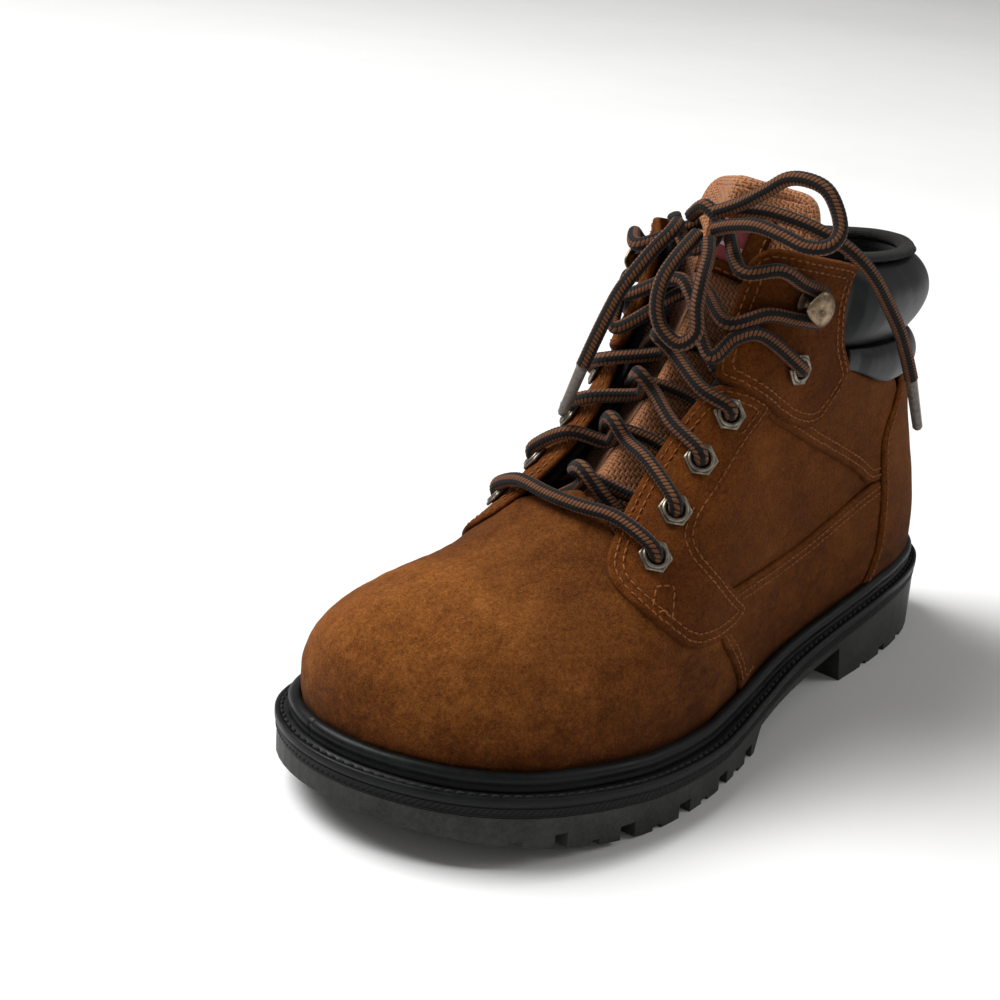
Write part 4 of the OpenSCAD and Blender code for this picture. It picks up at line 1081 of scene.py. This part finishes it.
def binding():
    n = 260
    u = np.linspace(-4.32, 4.32, n)
    ring = []
    for c, z in RIM_SHAPE:
        ring.append(above(u, np.full(n, 0.992), np.full(n, c)) + (0, 0, z))
    grid = np.stack(ring, 1)
    grid += normal(u, np.full(n, 0.992))[:, None, :] * (0.12 * noise3(grid, 5, 6))[..., None]
    m = len(RIM_SHAPE)
    faces = grid_faces(n, m, wrap_b=True)
    faces += [tuple(range(m)), tuple((n - 1) * m + k for k in range(m))]
    build("binding", grid.reshape(-1, 3), faces, TAPE, "boot", nodes=["collar_binding"],
          slot="binding_tape")
    p = above(u, np.full(n, 0.992), np.full(n, 0.45)) + (0, 0, 1.0)
    return stitch_runs(p, normal(u, np.full(n, 0.992)), np.ones(n, bool), False)


stitches("thread_binding", binding(), THREAD_BLACK, slot="binding_tape", pitch=2.6, size=0.3)


# ---------------------------------------------------------------- tongue
def tongue_sheet(name, node, s0, s1, q1, hi, lo, material, slot, n=120, m=61, puff=0.0, soft=1.0):
    """A sheet of the tongue between two heights, with its edges rounded over soft mm."""
    s, q = grid_uv(s0, s1, n, -q1, q1, m)
    upper = tongue(s, q, np.full(s.shape, float(hi)))
    across = np.linalg.norm(np.diff(upper, axis=1, prepend=upper[:, :1]), axis=-1).cumsum(1)
    along = np.linalg.norm(np.diff(upper, axis=0, prepend=upper[:1]), axis=-1).cumsum(0)
    edge = np.minimum((1 - np.abs(q) / q1) * TONGUE_W, np.minimum(s - s0, s1 - s) * 15)
    h = hi - (1 - rounded(edge, soft)) * (hi - lo) * 0.6
    h = h + puff * noise3(upper, 14, 1) * smooth_step(edge, 0, 5)
    upper = tongue(s, q, h)
    lower = tongue(s, q, np.full(s.shape, float(lo)))
    uv = np.stack([across - across[:, m // 2][:, None], along], -1).reshape(-1, 2)
    verts, faces = slab(upper, lower)
    return build(name, verts, faces, material, "tongue", np.tile(uv, (2, 1)), [node], slot)


tongue_sheet("nylon_face", "tongue_face", 0, 10, 1, 0, -1, NYLON, "tongue_nylon", 180, 91, 0.5)
tongue_sheet("tongue_padding", "tongue_foam", 0.3, 9.9, 0.96, -1.2, -6.8, FOAM, "foam", 80, 41)
tongue_sheet("tongue_back", "tongue_lining", 0, 10, 1, -7, -8, LINING, "lining_black", 90, 41)
tongue_sheet("tongue_leather", "tongue_patch", 7.9, 9.4, 0.6, 1.15, 0.15, SUEDE_DARK,
             "suede_dark", 40, 41, soft=1.2)
tongue_sheet("label", "tongue_label", 8.2, 9.1, 0.36, 1.8, 1.3, LABEL, "label_cloth", 30, 31,
             soft=0.5)


def tongue_edges():
    """The rolled edge that closes the tongue's sides and top."""
    s = np.linspace(0.2, 9.85, 90)
    left = tongue(s, np.full(90, 1.0), np.full(90, -4.0))
    q = np.linspace(1, -1, 30)[1:-1]
    top = tongue(np.full(28, 9.95), q, np.full(28, -4.0)) + (-1, 0, 1.2)
    right = tongue(s[::-1], np.full(90, -1.0), np.full(90, -4.0))
    path = np.concatenate([left, top, right])
    path = resample(path, path, 1.6, False)
    for _ in range(6):
        path[1:-1] = 0.5 * path[1:-1] + 0.25 * (path[2:] + path[:-2])
    verts, faces, uv = sweep(path, lambda u, v: 3.2 + 0.1 * np.sin(u / 1.9), 20)
    uv = uv * (1, 22)
    build("tongue_rolled_edge", verts, faces, NYLON, "tongue", uv, slot="tongue_nylon")
    across, along = np.linspace(-0.56, 0.56, 40), np.linspace(7.97, 9.33, 40)
    lines = [(along, 0.56), (along, -0.56), (7.99, across), (9.31, across)]
    seams = [(tongue(s, q, 1.1), unit(tongue(s, q, 2) - tongue(s, q, 1))) for s, q in lines]
    stitches("thread_patch", seams, THREAD, "tongue", "suede_dark", 2.8, 0.32)


tongue_edges()


# ---------------------------------------------------------------- sole
def around(profile, n=520):
    """A closed ring round the sole from pairs of inset from its edge and height above the
    welt line, each a number or n values."""
    u = np.linspace(0, N2, n, endpoint=False)
    grid = np.empty((n, len(profile), 3))
    for k, (r, z) in enumerate(profile):
        grid[:, k, :2] = sole_edge(u, np.broadcast_to(r, n))
        grid[:, k, 2] = welt_z(spline(EDGE, u)[:, 0]) + z
    return grid


def ring_piece(name, grid, material, nodes, slot):
    n, m = grid.shape[:2]
    return build(name, grid.reshape(-1, 3), grid_faces(n, m, wrap_a=True, wrap_b=True), material,
                 "boot", nodes=nodes, slot=slot)


ROW = 2.1  # inset of the welt's stitches


def welt():
    """The welt's ledge, with a row of stitches sunk in its groove."""
    profile = [(16, -3.2), (0.4, -3.2), (0.05, -2.9), (0, -1.6), (0.05, -0.45), (0.35, -0.08),
               (0.8, 0), (ROW - 0.75, 0), (ROW - 0.5, -0.35), (ROW, -0.6), (ROW + 0.5, -0.35),
               (ROW + 0.75, 0), (4, 0), (16, 0)]
    ring_piece("welt_ledge", around(profile), WELT_RUBBER, ["welt"], "rubber_welt")
    u = np.linspace(0, N2, 900)
    z = welt_z(spline(EDGE, u)[:, 0]) - 0.55
    row = np.concatenate([sole_edge(u, np.full(u.shape, ROW)), z[:, None]], 1)
    stitches("thread_welt", [(row, np.tile((0.0, 0.0, 1.0), (len(u), 1)))], THREAD_BLACK,
             slot="rubber_welt", pitch=3.6, size=0.5, long=0.78, sink=0.25)


welt()


def midsole():
    """The foxing band under the welt: fine slanted ribs between two plain lips."""
    n = 3000
    u = np.linspace(0, N2, n, endpoint=False)
    xy = sole_edge(u, np.zeros(n))
    step = np.linalg.norm(np.roll(xy, -1, 0) - xy, axis=1)
    along = np.concatenate([[0], np.cumsum(step)[:-1]])
    pitch = step.sum() / round(step.sum() / 2.3)
    shape = [(12, -7), (0.95, -7), (0.55, -6.8), (0.5, -6.3), (0.85, -6.1), (0.35, -5.9)]
    for z in (-5.6, -5.15, -4.7, -4.25, -3.95):
        phase = (along + (z + 5) * 1.1) / pitch * 2 * math.pi
        shape.append((0.3 + 0.42 * (0.5 - 0.5 * np.cos(phase)) ** 0.7, z))
    shape += [(0.35, -3.75), (0.8, -3.62), (0.55, -3.45), (0.4, -3.25), (12, -3.25)]
    ring_piece("ribbed_band", around(shape, n), WELT_RUBBER, ["midsole"], "rubber_sole")


midsole()


def rand():
    """The rubber rand: a rounded bead over a shallow channel, with a butt joint at the toe."""
    n = 620
    u = np.linspace(0, N2, n, endpoint=False)
    x = spline(EDGE, u)[:, 0]
    start = np.interp(x, (-60, 20, 90, 120), (2.6, 4.6, 4.6, 4.0))
    shape = [(4.1, 0.03), (0.3, 0.03), (0.1, 0.5), (0.45, 1.1), (0.6, 1.9), (0.35, 2.7),
             (0.0, 3.5), (0.1, 4.4), (0.55, 5.2), (1.3, 5.8), (2.2, 6.05), (3.1, 5.95),
             (3.7, 5.4), (4.0, 4.4), (4.1, 2)]
    joint = np.exp(-((u - 13.62) / 0.02) ** 2) * 0.8
    profile = []
    for r, z in shape:
        dip = joint if 0.3 < z and r < 3.5 else 0
        profile.append((start + r + dip, z - 0.6 * dip if z > 5 else z))
    grid = around(profile, n)
    grid[..., 2] += 0.1 * noise3(grid, 11, 4) * (np.array([z for _, z in shape]) > 1)[None]
    ring_piece("rand_bead", grid, WELT_RUBBER, ["rand"], "rubber_welt")


rand()


def footbed():
    """The loose cloth-covered footbed, crowned a little and turned up at its edge."""
    n, m = 200, 9
    uu = np.linspace(0, N2, n, endpoint=False)
    outline = sole_edge(uu, np.full(n, 18.0))
    middle = np.stack([outline[:, 0], np.interp(outline[:, 0], (-140, 10, 140), (0, 0, -8))], 1)
    layers = []
    for f in np.linspace(0, 0.92, m):
        xy = outline + (middle - outline) * f
        z = welt_z(xy[:, 0]) + 6.5 - 0.5 * smooth_step(f, 0, 0.3)
        layers.append(np.concatenate([xy, z[:, None]], 1))
    top_grid = np.stack(layers, 1)
    low = top_grid.copy()
    low[..., 2] = welt_z(low[..., 0]) + 2.5
    middle_face = tuple(i * m + m - 1 for i in range(n))
    verts, all_faces = thicken(top_grid.reshape(-1, 3), low.reshape(-1, 3),
                               [*grid_faces(n, m, wrap_a=True), middle_face])
    obj = build("footbed_sheet", verts, all_faces, FOOTBED, "footbed", nodes=["footbed"],
                slot="footbed_foam")


footbed()


# ---------------------------------------------------------------- eyelets and hooks
STAY_FACE, TAB_FACE = 1.95, 3.65  # heights above S where a fitting sits
EYELET_R = 5.75


def frame_at(e, side, h):
    """Where a fitting sits: its centre and its x, y and outward directions."""
    u, v = mirrored(e[0], side), e[1]
    n = normal(u, v)
    x = unit(np.cross(unit(surface(u, v + 0.02) - surface(u, v - 0.02)), n))
    return surface(u, v) + n * h, x, np.cross(n, x), n


def turned(profile, place, sides=48, shift=(0, 0), point=0.0):
    """A closed ring turned from (radius, height) points; a third value of 1 makes it a
    hexagon there. point draws the side towards +x (or -x) out and narrower."""
    p, x, y, n = place
    a = np.arange(sides) * 2 * math.pi / sides
    hexed = math.cos(math.pi / 6) / np.cos((a % (math.pi / 3)) - math.pi / 6)
    drawn = np.clip(np.cos(a) * point, 0, 1)
    rings = []
    for r, h, *k in profile:
        k = k[0] if k else 0.0
        rr = r * (1 - k + k * hexed)
        rings.append(p + ((np.cos(a) * rr * (1 + 0.12 * drawn) + shift[0])[:, None] * x
                          + (np.sin(a) * rr * (1 - 0.4 * drawn) + shift[1])[:, None] * y + h * n))
    grid = np.stack(rings, 1)
    return grid.reshape(-1, 3), grid_faces(sides, len(profile), wrap_a=True, wrap_b=True)


def gather(parts):
    verts, faces = [], []
    for v_, f_ in parts:
        start = sum(len(x) for x in verts)
        verts.append(np.asarray(v_))
        faces += [tuple(i + start for i in f) for f in f_]
    return np.concatenate(verts), faces


def eyelet_parts(side):
    parts = []
    for k, e in enumerate(EYELETS):
        deep = -7.9 if k < 4 else -9.6
        place = frame_at(e, side, STAY_FACE if k < 4 else TAB_FACE)
        r = EYELET_R
        profile = [(r * 0.98, 0, 1), (r * 1.03, 0.25, 1), (r * 1.04, 0.7, 1), (r * 1.0, 1.05, 1),
                   (r * 0.93, 1.25, 1), (r * 0.84, 1.22, 0.9), (r * 0.8, 1.12, 0.7),
                   (4.75, 1.3, 0.2), (4.45, 1.65, 0), (4.1, 1.9, 0), (3.75, 1.95, 0),
                   (3.4, 1.8, 0), (3.15, 1.4, 0), (3.1, 0.5, 0), (3.1, deep + 0.2, 0),
                   (3.5, deep - 0.25, 0), (4.4, deep - 0.3, 0), (5.0, deep, 0),
                   (4.4, deep + 0.5, 0), (3.7, deep + 0.7, 0), (3.7, -0.2, 0), (4.6, 0, 0)]
        parts.append(turned(profile, place))
    return parts


def hook_parts(side):
    place = frame_at(HOOK, side, TAB_FACE)
    plate = [(0.01, 0), (4.6, 0), (5.0, 0.3), (5.0, 0.7), (4.7, 0.98), (2.6, 1.12), (2.0, 1.6),
             (1.55, 2.6), (1.5, 6.6), (1.2, 7.2), (0.01, 7.2)]
    cap = [(0.01, 6.9), (3.4, 6.75), (5.2, 6.95), (5.95, 7.35), (6.0, 7.75), (5.7, 8.15),
           (4.6, 8.5), (3.0, 8.66), (0.01, 8.72)]
    back = [(0.01, 0.05), (1.9, 0.05), (1.9, -8.3), (3.4, -8.5), (3.5, -8.9), (3.0, -9.05),
            (0.01, -9.05)]
    return [turned(plate, place, 40), turned(cap, place, 48, (-side * 1.0, 0), -side),
            turned(back, place, 24)]


for side, where in ((1, "outer"), (-1, "inner")):
    build("rings_" + where, *gather(eyelet_parts(side)), METAL, "boot",
          nodes=["eyelets_" + where], slot="antique_metal")
    build("speed_hook_" + where, *gather(hook_parts(side)), BRASS, "boot",
          nodes=["hooks_" + where], slot="antique_metal")

# ---------------------------------------------------------------- hidden layers keep their shape
for node, material in (("insole_board", BOARD), ("shank", STEEL), ("sole_filler", CORK),
                       ("toe_cap", STEEL), ("toe_cap_edge", WELT_RUBBER),
                       ("heel_counter", BOARD), ("vamp_lining", LINEN), ("outsole", RUBBER)):
    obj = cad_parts[node]
    obj.data.materials.clear()
    obj.data.materials.append(material)

# ---------------------------------------------------------------- floor and light
plane = bpy.data.meshes.new("floor")
plane.from_pydata([(-4, -4, 0), (4, -4, 0), (4, 4, 0), (-4, 4, 0)], [], [(0, 1, 2, 3)])
plane.materials.append(plain("floor_white", (0.83, 0.83, 0.83), (0.87, 0.87, 0.87), 400, 0.9,
                             depth=0.01))
floor = bpy.data.objects.new("floor", plane)
bpy.context.scene.collection.objects.link(floor)

world = bpy.data.worlds.new("studio")
bpy.context.scene.world = world
world.use_nodes = True
world.node_tree.nodes["Background"].inputs["Color"].default_value = (1.0, 0.98, 0.95, 1)
world.node_tree.nodes["Background"].inputs["Strength"].default_value = 0.2


def soft_light(name, place, size, power):
    data = bpy.data.lights.new(name, "AREA")
    data.size, data.energy = size, power
    obj = bpy.data.objects.new(name, data)
    obj.location = place
    toward = Vector((0, 0, 0.08)) - Vector(place)
    obj.rotation_euler = toward.to_track_quat("-Z", "Y").to_euler()
    bpy.context.scene.collection.objects.link(obj)


soft_light("key", (0.8, -1.5, 2.6), 1.8, 134)
soft_light("fill", (1.2, 2.6, 1.0), 2.0, 3.2)
soft_light("back", (-1.6, 1.4, 1.5), 1.2, 13)
bpy.context.scene.view_settings.view_transform = "Standard"
